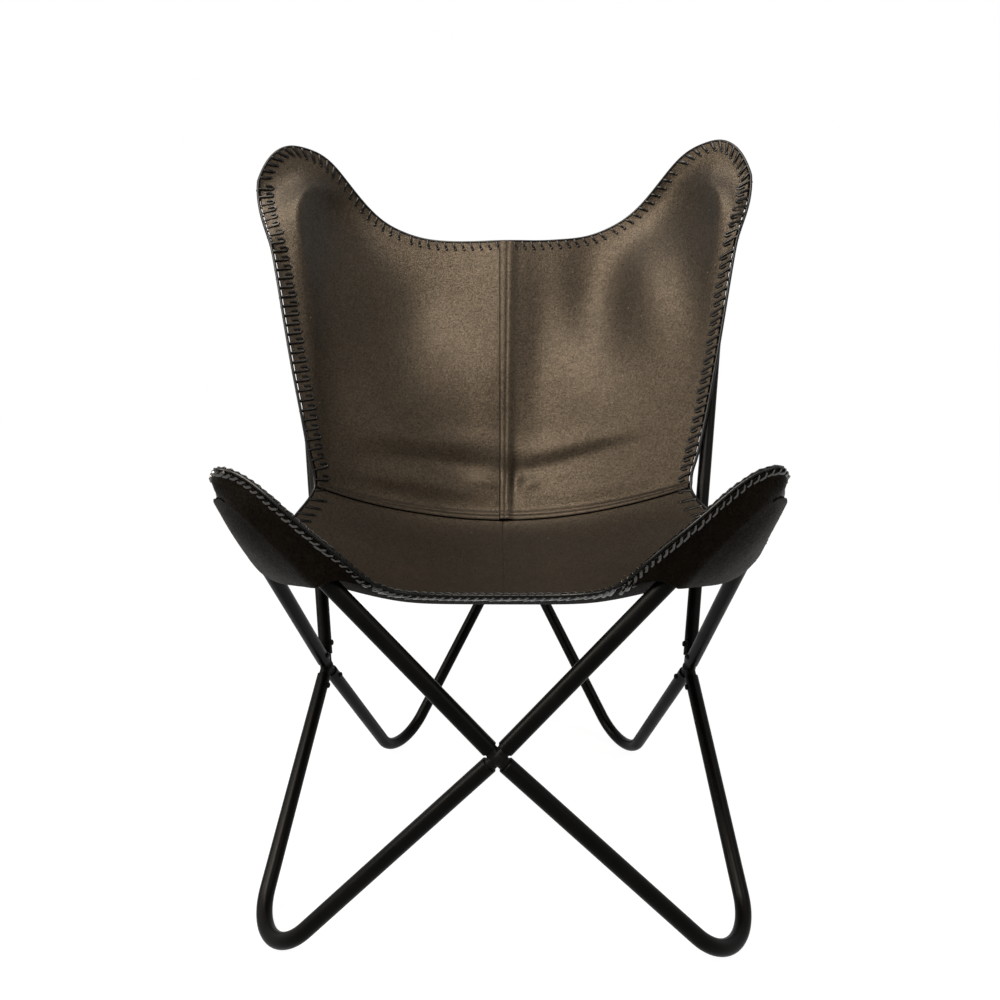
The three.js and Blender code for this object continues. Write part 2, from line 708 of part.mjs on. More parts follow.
// A leather sheet: a grid of middle points with their normals, thickened to a closed solid
function sheetGeometry(points, normals) {
  const rows = points.length;
  const columns = points[0].length;
  const vertices = [];
  const faces = [];
  for (const side of [0.5, -0.5]) {
    for (let i = 0; i < rows; i += 1) {
      for (let j = 0; j < columns; j += 1) {
        const vertex = points[i][j].clone().addScaledVector(normals[i][j], side * LEATHER);
        vertices.push(vertex.x, vertex.y, vertex.z);
      }
    }
  }
  const underside = rows * columns;
  const at = (i, j) => i * columns + j;
  const quad = (a, b, c, d) => faces.push(a, b, c, a, c, d);
  for (let i = 0; i + 1 < rows; i += 1) {
    for (let j = 0; j + 1 < columns; j += 1) {
      quad(at(i, j), at(i + 1, j), at(i + 1, j + 1), at(i, j + 1));
      const below = (row, column) => underside + at(row, column);
      quad(below(i, j), below(i, j + 1), below(i + 1, j + 1), below(i + 1, j));
    }
  }
  const rim = [];
  for (let j = 0; j < columns; j += 1) {
    rim.push(at(0, j));
  }
  for (let i = 1; i < rows; i += 1) {
    rim.push(at(i, columns - 1));
  }
  for (let j = columns - 2; j >= 0; j -= 1) {
    rim.push(at(rows - 1, j));
  }
  for (let i = rows - 2; i >= 1; i -= 1) {
    rim.push(at(i, 0));
  }
  rim.forEach((vertex, n) => {
    const next = rim[(n + 1) % rim.length];
    quad(vertex, next, underside + next, underside + vertex);
  });
  const alongRow = points[0][1].clone().sub(points[0][0]);
  const alongColumn = points[1][0].clone().sub(points[0][0]);
  if (alongColumn.cross(alongRow).dot(normals[0][0]) < 0) {
    for (let i = 0; i < faces.length; i += 3) {
      const first = faces[i];
      faces[i] = faces[i + 1];
      faces[i + 1] = first;
    }
  }
  const geometry = new THREE.BufferGeometry();
  geometry.setAttribute("position", new THREE.Float32BufferAttribute(vertices, 3));
  geometry.setIndex(faces);
  geometry.computeVertexNormals();
  return geometry;
}

// Back halves: the right one laps over the left one, and both lap over the seat
const layer = LEATHER + FIT_CLEARANCE;

function backHalf(flank) {
  const cells = [{ column: LAP_COLUMN, side: -flank }];
  COLUMNS.forEach((_, column) => cells.push({ column, side: flank }));
  const points = [];
  const normals = [];
  for (let i = 0; i <= LAP_ROW + 1; i += 1) {
    const overSeat = i >= LAP_ROW ? layer : 0;
    normals.push(cells.map(({ column, side }) => {
      return side < 0 ? mirrored(normalGrid[i][column]) : normalGrid[i][column].clone();
    }));
    points.push(cells.map(({ column, side }, k) => {
      const overOther = flank > 0 && column <= LAP_COLUMN ? layer : 0;
      const place = side < 0 ? mirrored(slingGrid[i][column]) : slingGrid[i][column].clone();
      return place.addScaledVector(normals[i][k], overSeat + overOther);
    }));
  }
  return sheetGeometry(points, normals);
}

// Seat halves: they meet edge to edge on the middle line
function seatHalf() {
  const points = slingGrid.slice(LAP_ROW).map((row) => row.map((point) => point.clone()));
  const normals = normalGrid.slice(LAP_ROW);
  for (const row of points) {
    row[0].x = FIT_CLEARANCE / 2;
  }
  return sheetGeometry(points, normals);
}

addPiece(left, "back_panel_left", backHalf(-1), WAXED_HIDE);
addPiece(right, "back_panel_right", backHalf(1), WAXED_HIDE);
addPair("seat_panel", seatHalf(), WAXED_HIDE);

// Pockets: a second leather laced flush to the panel's rim, drawn taut round the far side of the tubes
function pocket(firstRow, endRow, firstColumn, rimRow) {
  const part = (grid) => grid.slice(firstRow, endRow).map((row) => row.slice(firstColumn));
  const away = part(normalGrid).map((row) => row.map((normal) => normal.clone().negate()));
  const offset = away.map((row) => row.map(() => layer));
  const flush = raised(part(slingGrid), away, offset);
  const lastColumn = flush[0].length - 1;
  const held = (i, j) => i === rimRow || j === 0 || j === lastColumn;
  const need = flush.map((row, i) => row.map((point, j) => (held(i, j) ? 0 : passDistance(point, away[i][j]))));
  return sheetGeometry(layOver(flush, away, held, 1, need, POCKET_EASE, false), away);
}

const armPocketRows = slingGrid.length - ARM_MOUTH_ROW;
addPair("ear_pocket", pocket(0, EAR_ROWS + 1, EAR_POCKET_COLUMN, 0), POCKET_HIDE);
addPair(
  "arm_pocket",
  pocket(ARM_MOUTH_ROW, slingGrid.length, ARM_POCKET_COLUMN, armPocketRows - 1),
  POCKET_HIDE,
);

// Origin: on the floor, in the middle of the chair's length and width
const box = new THREE.Box3().setFromObject(chair);
chair.position.y = -(box.min.y + box.max.y) / 2;
chair.updateMatrixWorld(true);

export default chair;
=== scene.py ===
"""Butterfly sling chair: a bent steel tube frame and a laced leather sling hung from its upper corners."""

import math

import bmesh
import bpy
import numpy as np
from mathutils import Matrix, Vector


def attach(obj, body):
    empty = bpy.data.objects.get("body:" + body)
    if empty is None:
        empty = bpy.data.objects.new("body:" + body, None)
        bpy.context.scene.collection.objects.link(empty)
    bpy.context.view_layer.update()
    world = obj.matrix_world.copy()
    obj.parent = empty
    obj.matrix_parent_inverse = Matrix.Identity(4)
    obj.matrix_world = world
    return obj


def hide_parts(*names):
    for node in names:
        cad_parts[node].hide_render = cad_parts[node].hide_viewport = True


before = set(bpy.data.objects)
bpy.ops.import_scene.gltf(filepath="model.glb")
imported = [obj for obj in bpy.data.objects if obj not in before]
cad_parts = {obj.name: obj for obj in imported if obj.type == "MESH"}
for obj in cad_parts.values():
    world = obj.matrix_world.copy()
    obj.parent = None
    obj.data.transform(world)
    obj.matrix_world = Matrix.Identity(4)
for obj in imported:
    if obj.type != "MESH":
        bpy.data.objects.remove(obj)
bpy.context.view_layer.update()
scene = bpy.context.scene

# Sizes are in millimetres, in the frame's own place before the part is centred on the floor
MM = 0.001
CENTRING = np.array([0.0, -73.245, 0.0])
MIRROR = np.array([-1.0, 1.0, 1.0])
SIDES = {"right": 1, "left": -1}
# What turns a place on the right half into that of a side
FLIPS = {1: np.ones(3), -1: MIRROR}
# Shorter than this, a direction has no meaning
TINY = 1e-9

# Steel tube
TUBE_RADIUS = 8.5
BORE_RADIUS = 7.0
PLUG_RADIUS = 6.7
PLUG_LENGTH = 40.0
HUB_RADIUS = 8.5
HUB_SIDES = 24
HUB_RINGS = 16
TUBE_END_GAP = 1.5
TUBE_SIDES = 28
BEND_STEPS = 24
RIM_CHAMFER = 0.5
# Rings at each end of a tube that lie on its straight leg
STRAIGHT_RINGS = 3
# The feet are flat underneath by this depth, and their corners are found in so many rounds
FOOT_FLAT_DEPTH = 0.5
FOOT_ROUNDS = 30
FRONT_FOOT_BEND = 61.0
BACK_FOOT_BEND = 66.0
ARM_BEND = 44.0
EAR_BEND = 80.0

# Where the tubes cross, and where the two legs of each bent tube would meet, right half of the chair
FRONT_CROSS = np.array([0.0, -282.0, 227.0])
SIDE_CROSS = np.array([233.5, 37.5, 203.5])
BACK_CROSS = np.array([0.0, 439.0, 289.5])
FRONT_FOOT = np.array([263.0, -257.0])
BACK_FOOT = np.array([178.0, 257.0])
ARM_CORNER = np.array([269.0, -276.0, 516.5])
EAR_CORNER = np.array([342.0, 370.0, 1064.0])

# Screws
SCREW_SET_BACK = 14.0
SCREW_HEAD_RADIUS = 3.7
SCREW_HEAD_HEIGHT = 2.4

# Leather: its thickness, a layer of it with air, the laps at its seams and its gap over a tube
LEATHER = 2.4
LAYER = 2.7
SEAM_LAP = 10.0
LAP_RAMP = 12.0
LEATHER_ON_TUBE = 0.5
# How far the tip stands outside and below the arm tube's bend, and how the seat's edge sags and bulges
ARM_FLANGE = 30.0
ARM_FLANGE_DROP = 22.0
EDGE_SAG = 60.0
EDGE_BULGE = 16.0
# How far down the legs of its tube a pocket reaches
EAR_POCKET_REACH = 78.0
ARM_POCKET_REACH = 92.0
# The back hangs this far to one side
BACK_DRIFT = -9.0


def unit(vector):
    return vector / np.linalg.norm(vector)


def units(vectors):
    return vectors / np.maximum(np.linalg.norm(vectors, axis=-1), TINY)[..., None]


def smooth_step(low, high, value):
    share = np.clip((value - low) / (high - low), 0, 1)
    return share * share * (3 - 2 * share)


# How far along a line each of its points lies
def run_along(points):
    return np.concatenate([[0], np.cumsum(np.linalg.norm(np.diff(points, axis=0), axis=1))])


# Values of a field along that run at some stops
def at_stops(stops, run, field):
    return np.stack([np.interp(stops, run, field[:, k]) for k in range(3)], -1)


# From a place in millimetres to the scene's own, in metres
def in_scene(points_mm):
    return (np.asarray(points_mm, float) + CENTRING) * MM


# Node trees and materials

def add_node(tree, kind, settings=None, inputs=None):
    node = tree.nodes.new(kind)
    for name, value in (settings or {}).items():
        setattr(node, name, value)
    for name, value in (inputs or {}).items():
        if isinstance(value, bpy.types.NodeSocket):
            tree.links.new(value, node.inputs[name])
        else:
            node.inputs[name].default_value = value
    return node


def colour(code):
    parts = [int(code[i:i + 2], 16) / 255 for i in (1, 3, 5)]
    linear = [p / 12.92 if p <= 0.04045 else ((p + 0.055) / 1.055) ** 2.4 for p in parts]
    return (*linear, 1.0)


def fill_ramp(node, stops):
    elements = node.color_ramp.elements
    while len(elements) < len(stops):
        elements.new(0.5)
    for element, (place, code) in zip(elements, stops):
        element.position = place
        element.color = colour(code)


def blank_material(name):
    material = bpy.data.materials.new(name)
    material.use_nodes = True
    tree = material.node_tree
    tree.nodes.clear()
    coordinates = add_node(tree, "ShaderNodeTexCoord").outputs["Object"]
    shader = add_node(tree, "ShaderNodeBsdfPrincipled")
    add_node(tree, "ShaderNodeOutputMaterial", inputs={"Surface": shader.outputs["BSDF"]})
    return material, tree, coordinates, shader


def per_metre(size_mm):
    return 1 / (size_mm * MM)


# Waxed pull-up cowhide: rolled and waxed, so wax lightens it in clouds, over a fine pebble grain with pale
# flecks. The real grain is about 0.7 mm; it is drawn coarser so that it shows.
WAX_TINT = "#e0ccb2"
HIDE_IOR = 1.48
# Sizes of its patterns in millimetres
WAX_CLOUD = 120
MOTTLE = 14
PORES = 2.6
PEBBLE = 1.9
FLECK_SPACING = 34
# Share of the fleck spacing at which a fleck is full and at which it has gone, and how much it covers
FLECK_CORE = 0.02
FLECK_EDGE = 0.045
FLECK_COVER = 0.5
# Height of the mottle's waves and of the grain in metres
WAVE_HEIGHT = 0.0012
GRAIN_HEIGHT = 0.0005
# How much the pebbles add to the pores in the grain
PEBBLE_SHARE = 0.8
# Share of the plain specular level in the pores and on the crowns between them
PORE_SHINE = 0.5
CROWN_SHINE = 1.5


def waxed_hide(name, stops, rough_low, rough_high, specular, fleck_code):
    material, tree, coordinates, shader = blank_material(name)
    cloud = add_node(tree, "ShaderNodeTexNoise", inputs={
        "Vector": coordinates, "Scale": per_metre(WAX_CLOUD), "Detail": 3.0, "Roughness": 0.55})
    mottle = add_node(tree, "ShaderNodeTexNoise", inputs={
        "Vector": coordinates, "Scale": per_metre(MOTTLE), "Detail": 5.0, "Roughness": 0.65})
    fine = add_node(tree, "ShaderNodeTexNoise", inputs={
        "Vector": coordinates, "Scale": per_metre(PORES), "Detail": 4.0, "Roughness": 0.6})
    blotch = add_node(tree, "ShaderNodeMix", {"data_type": "FLOAT"}, {
        "Factor": 0.45, "A": cloud.outputs["Fac"], "B": mottle.outputs["Fac"]})
    tone = add_node(tree, "ShaderNodeMix", {"data_type": "FLOAT"}, {
        "Factor": 0.3, "A": blotch.outputs["Result"], "B": fine.outputs["Fac"]})
    ramp = add_node(tree, "ShaderNodeValToRGB", inputs={"Fac": tone.outputs["Result"]})
    fill_ramp(ramp, stops)
    fleck_noise = add_node(tree, "ShaderNodeTexVoronoi", inputs={
        "Vector": coordinates, "Scale": per_metre(FLECK_SPACING), "Randomness": 1.0})
    fleck = add_node(tree, "ShaderNodeMapRange", inputs={
        "Value": fleck_noise.outputs["Distance"], "From Min": FLECK_CORE, "From Max": FLECK_EDGE,
        "To Min": FLECK_COVER, "To Max": 0.0})
    flecked = add_node(tree, "ShaderNodeMix", {"data_type": "RGBA"}, {
        "Factor": fleck.outputs["Result"], "A": ramp.outputs["Color"], "B": colour(fleck_code)})
    tree.links.new(flecked.outputs["Result"], shader.inputs["Base Color"])
    rough = add_node(tree, "ShaderNodeMapRange", inputs={
        "Value": blotch.outputs["Result"], "From Min": 0.35, "From Max": 0.65,
        "To Min": rough_high, "To Max": rough_low})
    tree.links.new(rough.outputs["Result"], shader.inputs["Roughness"])
    pebble = add_node(tree, "ShaderNodeTexVoronoi", {"feature": "DISTANCE_TO_EDGE"}, {
        "Vector": coordinates, "Scale": per_metre(PEBBLE), "Randomness": 1.0})
    grain = add_node(tree, "ShaderNodeMath", {"operation": "MULTIPLY_ADD"}, {
        0: pebble.outputs["Distance"], 1: PEBBLE_SHARE, 2: fine.outputs["Fac"]})
    wave = add_node(tree, "ShaderNodeBump", inputs={
        "Height": mottle.outputs["Fac"], "Strength": 0.35, "Distance": WAVE_HEIGHT})
    bump = add_node(tree, "ShaderNodeBump", inputs={
        "Height": grain.outputs["Value"], "Strength": 0.7, "Distance": GRAIN_HEIGHT,
        "Normal": wave.outputs["Normal"]})
    tree.links.new(bump.outputs["Normal"], shader.inputs["Normal"])
    shader.inputs["IOR"].default_value = HIDE_IOR
    sheen = add_node(tree, "ShaderNodeMapRange", inputs={
        "Value": fine.outputs["Fac"], "From Min": 0.32, "From Max": 0.68,
        "To Min": specular * PORE_SHINE, "To Max": specular * CROWN_SHINE})
    shader.inputs["Specular IOR Level"].default_value = specular
    tree.links.new(sheen.outputs["Result"], shader.inputs["Specular IOR Level"])
    shader.inputs["Specular Tint"].default_value = colour(WAX_TINT)
    return material


# Flesh side of the hide: raw split suede, matt and fibrous, almost black, its nap and patches in millimetres
NAP = 3
SUEDE_PATCH = 40
NAP_HEIGHT = 0.0004


def suede(name, dark, pale):
    material, tree, coordinates, shader = blank_material(name)
    nap = add_node(tree, "ShaderNodeTexNoise", inputs={
        "Vector": coordinates, "Scale": per_metre(NAP), "Detail": 6.0, "Roughness": 0.75})
    patch = add_node(tree, "ShaderNodeTexNoise", inputs={
        "Vector": coordinates, "Scale": per_metre(SUEDE_PATCH), "Detail": 2.0})
    tone = add_node(tree, "ShaderNodeMix", {"data_type": "FLOAT"}, {
        "Factor": 0.5, "A": nap.outputs["Fac"], "B": patch.outputs["Fac"]})
    ramp = add_node(tree, "ShaderNodeValToRGB", inputs={"Fac": tone.outputs["Result"]})
    fill_ramp(ramp, [(0.35, dark), (0.65, pale)])
    tree.links.new(ramp.outputs["Color"], shader.inputs["Base Color"])
    bump = add_node(tree, "ShaderNodeBump", inputs={
        "Height": nap.outputs["Fac"], "Strength": 0.5, "Distance": NAP_HEIGHT})
    tree.links.new(bump.outputs["Normal"], shader.inputs["Normal"])
    shader.inputs["Roughness"].default_value = 0.9
    shader.inputs["Specular IOR Level"].default_value = 0.05
    return material


# Powder coat and black oxide: baked or dipped on, a fine orange peel with a few rubbed spots of this size
RUBBED_SPOT = 35
PEEL_HEIGHT = 0.0002
COAT_SPECULAR = 0.04


def coated_steel(name, dark, pale, roughness, peel_mm):
    material, tree, coordinates, shader = blank_material(name)
    peel = add_node(tree, "ShaderNodeTexNoise", inputs={
        "Vector": coordinates, "Scale": per_metre(peel_mm), "Detail": 2.0})
    rub = add_node(tree, "ShaderNodeTexNoise", inputs={
        "Vector": coordinates, "Scale": per_metre(RUBBED_SPOT), "Detail": 5.0, "Roughness": 0.6})
    ramp = add_node(tree, "ShaderNodeValToRGB", inputs={"Fac": rub.outputs["Fac"]})
    fill_ramp(ramp, [(0.4, dark), (0.7, pale)])
    tree.links.new(ramp.outputs["Color"], shader.inputs["Base Color"])
    rough = add_node(tree, "ShaderNodeMapRange", inputs={
        "Value": rub.outputs["Fac"], "From Min": 0.3, "From Max": 0.7,
        "To Min": roughness - 0.05, "To Max": roughness + 0.08})
    tree.links.new(rough.outputs["Result"], shader.inputs["Roughness"])
    bump = add_node(tree, "ShaderNodeBump", inputs={
        "Height": peel.outputs["Fac"], "Strength": 0.2, "Distance": PEEL_HEIGHT})
    tree.links.new(bump.outputs["Normal"], shader.inputs["Normal"])
    shader.inputs["Specular IOR Level"].default_value = COAT_SPECULAR
    return material


# Waxed thong and thread: cut hide and twisted polyester, dyed black, with a slight sheen on their crowns
FIBRE_HEIGHT = 0.0002


def waxed_strand(name, dark, pale, roughness, specular, twist_mm):
    material, tree, coordinates, shader = blank_material(name)
    fibre = add_node(tree, "ShaderNodeTexNoise", inputs={
        "Vector": coordinates, "Scale": per_metre(twist_mm), "Detail": 4.0, "Roughness": 0.6})
    ramp = add_node(tree, "ShaderNodeValToRGB", inputs={"Fac": fibre.outputs["Fac"]})
    fill_ramp(ramp, [(0.38, dark), (0.68, pale)])
    tree.links.new(ramp.outputs["Color"], shader.inputs["Base Color"])
    bump = add_node(tree, "ShaderNodeBump", inputs={
        "Height": fibre.outputs["Fac"], "Strength": 0.3, "Distance": FIBRE_HEIGHT})
    tree.links.new(bump.outputs["Normal"], shader.inputs["Normal"])
    shader.inputs["Roughness"].default_value = roughness
    shader.inputs["Specular IOR Level"].default_value = specular
    return material


hide = waxed_hide(
    "waxed_cowhide", [(0.36, "#15120e"), (0.5, "#211c16"), (0.64, "#302820")],
    rough_low=0.39, rough_high=0.47, specular=0.2, fleck_code="#8d7c66")
# The pockets' grain side is the same cowhide with darker colours and flecks: painted shade for the pockets,
# which hang under the tubes
pocket_hide_painted_shade = waxed_hide(
    "waxed_cowhide_painted_shade", [(0.36, "#060403"), (0.5, "#0c0906"), (0.64, "#150f0a")],
    rough_low=0.5, rough_high=0.6, specular=0.03, fleck_code="#2c251e")
flesh = suede("split_suede", "#070504", "#100c09")
powder_coat = coated_steel("black_powder_coat", "#040403", "#0a0908", roughness=0.36, peel_mm=1.6)
connector_coat = coated_steel("black_dipped_casting", "#101010", "#1c1b1a", roughness=0.5, peel_mm=2.2)
oxide = coated_steel("black_oxide_screw", "#151515", "#2a2a2a", roughness=0.36, peel_mm=0.9)
thong = waxed_strand("waxed_hide_thong", "#020202", "#070605", roughness=0.3, specular=0.1, twist_mm=2.5)
braid = waxed_strand("waxed_hide_braid", "#080604", "#1b150f", roughness=0.18, specular=0.7, twist_mm=2.5)
thread = waxed_strand(
    "waxed_polyester_thread", "#0c0a08", "#1c1712", roughness=0.5, specular=0.15, twist_mm=1.2)


# Meshes and objects

# Angles in degrees past which an edge is sharp: on steel, on small repeated shapes and on leather
SHARP_STEEL = 38
SHARP_SMALL = 50
SHARP_LEATHER = 60


def add_object(name, data):
    piece = bpy.data.objects.new(name, data)
    scene.collection.objects.link(piece)
    return piece


def mesh_of(shape, name):
    mesh = bpy.data.meshes.new(name)
    shape.to_mesh(mesh)
    shape.free()
    return mesh


def smooth_faces(mesh):
    mesh.polygons.foreach_set("use_smooth", np.ones(len(mesh.polygons), bool))


def mesh_object(name, vertices_mm, faces, materials, face_materials=None, sharp_degrees=SHARP_STEEL):
    mesh = bpy.data.meshes.new(name)
    mesh.from_pydata(in_scene(vertices_mm).tolist(), [], [list(map(int, face)) for face in faces])
    for material in materials:
        mesh.materials.append(material)
    smooth_faces(mesh)
    if face_materials is not None:
        mesh.polygons.foreach_set("material_index", np.asarray(face_materials, np.int32))
    mark_sharp(mesh, sharp_degrees)
    return add_object(name, mesh)


def mark_sharp(mesh, degrees):
    limit = math.radians(degrees)
    shape = bmesh.new()
    shape.from_mesh(mesh)
    for edge in shape.edges:
        if len(edge.link_faces) == 2 and edge.calc_face_angle() > limit:
            edge.smooth = False
    shape.to_mesh(mesh)
    shape.free()
    mesh.update()


def face_out(mesh):
    shape = bmesh.new()
    shape.from_mesh(mesh)
    bmesh.ops.recalc_face_normals(shape, faces=shape.faces)
    shape.to_mesh(mesh)
    shape.free()


# The piece as a plain mesh, with its modifiers worked out
def plain_copy(name, source):
    bpy.context.view_layer.update()
    evaluated = source.evaluated_get(bpy.context.evaluated_depsgraph_get())
    mesh = bpy.data.meshes.new_from_object(evaluated)
    mesh.name = name
    piece = add_object(name, mesh)
    bpy.data.objects.remove(source)
    return piece


# Faces of a closed solid made of rings of points, one after the other
def ring_faces(rings, sides):
    faces = []
    for i in range(rings - 1):
        for k in range(sides):
            n = (k + 1) % sides
            faces.append((i * sides + k, i * sides + n, (i + 1) * sides + n, (i + 1) * sides + k))
    faces.append(tuple(range(sides)))
    faces.append(tuple((rings - 1) * sides + k for k in range(sides)))
    return faces


# Tube routes: straight, one round bend, straight

def bent_route(start, corner, end, bend):
    to_start = unit(start - corner)
    to_end = unit(end - corner)
    half_angle = math.acos(float(to_start @ to_end)) / 2
    bisector = unit(to_start + to_end)
    across = unit(to_start - to_end)
    centre = corner + bisector * bend / math.sin(half_angle)
    sweep = math.pi / 2 - half_angle
    angles = np.linspace(-sweep, sweep, BEND_STEPS + 1)[:, None]
    on_bend = centre - bisector * bend * np.cos(angles) - across * bend * np.sin(angles)
    return {
        "line": np.vstack([start, on_bend, end]),
        "plane": unit(np.cross(bisector, across)),
        "top": centre - bisector * bend,
    }


# Where the legs of a foot would meet, so low that its bend rests on the floor
def foot_corner(place, cross_a, cross_b, bend):
    lowest = TUBE_RADIUS - FOOT_FLAT_DEPTH
    corner = np.array([place[0], place[1], lowest - bend])
    for _ in range(FOOT_ROUNDS):
        corner[2] += lowest - bent_route(cross_a, corner, cross_b, bend)["line"][:, 2].min()
    return corner


front_foot_corner = foot_corner(FRONT_FOOT, FRONT_CROSS, SIDE_CROSS, FRONT_FOOT_BEND)
back_foot_corner = foot_corner(BACK_FOOT, SIDE_CROSS, BACK_CROSS, BACK_FOOT_BEND)


# A crossing: its place, the directions of its tubes, and how far out their rims lie so that they don't touch
def crossing(place, corners):
    directions = [unit(corner - place) for corner in corners]
    angles = [
        math.acos(float(one @ other))
        for i, one in enumerate(directions) for other in directions[i + 1:]
    ]
    rim = TUBE_RADIUS / math.tan(min(angles) / 2) + TUBE_END_GAP
    return {"place": place, "directions": directions, "rim": rim}


front_crossing = crossing(
    FRONT_CROSS, [ARM_CORNER, ARM_CORNER * MIRROR, front_foot_corner, front_foot_corner * MIRROR])
side_crossing = crossing(SIDE_CROSS, [ARM_CORNER, EAR_CORNER, front_foot_corner, back_foot_corner])
back_crossing = crossing(
    BACK_CROSS, [EAR_CORNER, EAR_CORNER * MIRROR, back_foot_corner, back_foot_corner * MIRROR])


def tube_route(cross_a, corner, cross_b, bend):
    ends = [cross["place"] + unit(corner - cross["place"]) * cross["rim"] for cross in (cross_a, cross_b)]
    return bent_route(ends[0], corner, ends[1], bend)


arm_route = tube_route(front_crossing, ARM_CORNER, side_crossing, ARM_BEND)
ear_route = tube_route(side_crossing, EAR_CORNER, back_crossing, EAR_BEND)
front_foot_route = tube_route(front_crossing, front_foot_corner, side_crossing, FRONT_FOOT_BEND)
back_foot_route = tube_route(side_crossing, back_foot_corner, back_crossing, BACK_FOOT_BEND)


# A hollow tube along a route, with chamfered rims and the floor's flat on a foot
def tube_piece(name, route, side):
    line = route["line"]
    first = unit(line[1] - line[0])
    last = unit(line[-1] - line[-2])
    centres = np.vstack([
        line[0], line[0] + first * RIM_CHAMFER, line[1:-1], line[-1] - last * RIM_CHAMFER, line[-1]])
    tangents = np.gradient(centres, axis=0)
    tangents[:STRAIGHT_RINGS] = first
    tangents[-STRAIGHT_RINGS:] = last
    sideways = np.cross(units(tangents), route["plane"])
    turn = np.linspace(0, 2 * math.pi, TUBE_SIDES, endpoint=False)
    ring = np.cos(turn)[None, :, None] * route["plane"] + np.sin(turn)[None, :, None] * sideways[:, None, :]
    outer_radius = np.full(len(centres), TUBE_RADIUS)
    outer_radius[[0, -1]] = TUBE_RADIUS - RIM_CHAMFER
    outer = centres[:, None, :] + ring * outer_radius[:, None, None]
    bore = centres[:, None, :] + ring * BORE_RADIUS
    vertices = np.vstack([outer.reshape(-1, 3), bore.reshape(-1, 3)])
    vertices[:, 2] = np.maximum(vertices[:, 2], 0)
    rings = len(centres)
    faces = []
    for k in range(TUBE_SIDES):
        n = (k + 1) % TUBE_SIDES
        for i in range(rings - 1):
            a, b = i * TUBE_SIDES, (i + 1) * TUBE_SIDES
            faces.append([a + k, b + k, b + n, a + n])
            c, d = a + rings * TUBE_SIDES, b + rings * TUBE_SIDES
            faces.append([c + k, c + n, d + n, d + k])
        start, start_bore = 0, rings * TUBE_SIDES
        end, end_bore = (rings - 1) * TUBE_SIDES, (2 * rings - 1) * TUBE_SIDES
        faces.append([start + k, start + n, start_bore + n, start_bore + k])
        faces.append([end + k, end_bore + k, end_bore + n, end + n])
    piece = mesh_object(name, vertices * FLIPS[side], faces, [powder_coat])
    face_out(piece.data)
    return piece


TUBES = {
    "arm_tube": ("front_upper_tube", arm_route),
    "ear_tube": ("back_upper_tube", ear_route),
    "front_leg_tube": ("front_foot_tube", front_foot_route),
    "back_leg_tube": ("back_foot_tube", back_foot_route),
}
for tube_name, (node_name, route) in TUBES.items():
    for side_name, side in SIDES.items():
        piece = tube_piece(f"{tube_name}_{side_name}", route, side)
        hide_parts(f"{node_name}_{side_name}")
        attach(piece, "root")


# Cross connectors: a round hub with four plugs, joined to one solid

def connector_piece(name, cross, side):
    place = Matrix.Translation(Vector(in_scene(cross["place"] * FLIPS[side])))
    hub_shape = bmesh.new()
    bmesh.ops.create_uvsphere(hub_shape, u_segments=HUB_SIDES, v_segments=HUB_RINGS, radius=HUB_RADIUS * MM)
    hub_mesh = mesh_of(hub_shape, f"{name}_hub")
    hub_mesh.transform(place)
    hub = add_object(f"{name}_hub", hub_mesh)
    length = (cross["rim"] + PLUG_LENGTH) * MM
    radius = PLUG_RADIUS * MM
    plugs = []
    for k, along in enumerate(cross["directions"]):
        plug_shape = bmesh.new()
        bmesh.ops.create_cone(
            plug_shape, cap_ends=True, segments=HUB_SIDES, radius1=radius, radius2=radius, depth=length)
        bmesh.ops.translate(plug_shape, verts=plug_shape.verts, vec=(0, 0, length / 2))
        plug_mesh = mesh_of(plug_shape, f"{name}_plug_{k}")
        turn = Vector((0, 0, 1)).rotation_difference(Vector(along * FLIPS[side])).to_matrix().to_4x4()
        plug_mesh.transform(place @ turn)
        plug = add_object(f"{name}_plug_{k}", plug_mesh)
        plugs.append(plug)
        join = hub.modifiers.new(f"plug_{k}", "BOOLEAN")
        join.operation = "UNION"
        join.solver = "EXACT"
        join.object = plug
    piece = plain_copy(name, hub)
    for plug in plugs:
        bpy.data.objects.remove(plug)
    piece.data.materials.clear()
    piece.data.materials.append(connector_coat)
    smooth_faces(piece.data)
    mark_sharp(piece.data, SHARP_STEEL)
    return piece


CONNECTORS = [
    ("front_crossing_hub", "front_cross_connector", front_crossing, 1),
    ("back_crossing_hub", "back_cross_connector", back_crossing, 1),
    ("side_crossing_hub_right", "side_cross_connector_right", side_crossing, 1),
    ("side_crossing_hub_left", "side_cross_connector_left", side_crossing, -1),
]
for piece_name, node_name, cross, side in CONNECTORS:
    piece = connector_piece(piece_name, cross, side)
    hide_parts(node_name)
    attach(piece, "root")


# Trees that make what repeats or follows a path

def new_tree(name, inputs, output):
    tree = bpy.data.node_groups.new(name, "GeometryNodeTree")
    for label, kind in inputs.items():
        tree.interface.new_socket(name=label, in_out="INPUT", socket_type=f"NodeSocket{kind}")
    tree.interface.new_socket(name=output, in_out="OUTPUT", socket_type="NodeSocketGeometry")
    return tree


def end_tree(tree, geometry, material, output):
    real = add_node(tree, "GeometryNodeRealizeInstances", inputs={"Geometry": geometry})
    finish = add_node(tree, "GeometryNodeSetMaterial", inputs={
        "Geometry": real.outputs["Geometry"], "Material": material})
    add_node(tree, "NodeGroupOutput", inputs={output: finish.outputs["Geometry"]})


# Runs a tree on a path, and gives what it makes as a plain piece
def made_by(tree, name, path, values):
    modifier = path.modifiers.new(tree.name, "NODES")
    modifier.node_group = tree
    for item in tree.interface.items_tree:
        if item.in_out == "INPUT" and item.name in values:
            modifier[item.identifier] = values[item.name]
    piece = plain_copy(name, path)
    smooth_faces(piece.data)
    return piece


# Directions that a path carries for what is set along it
PATH_DIRECTIONS = ("inward", "facing")


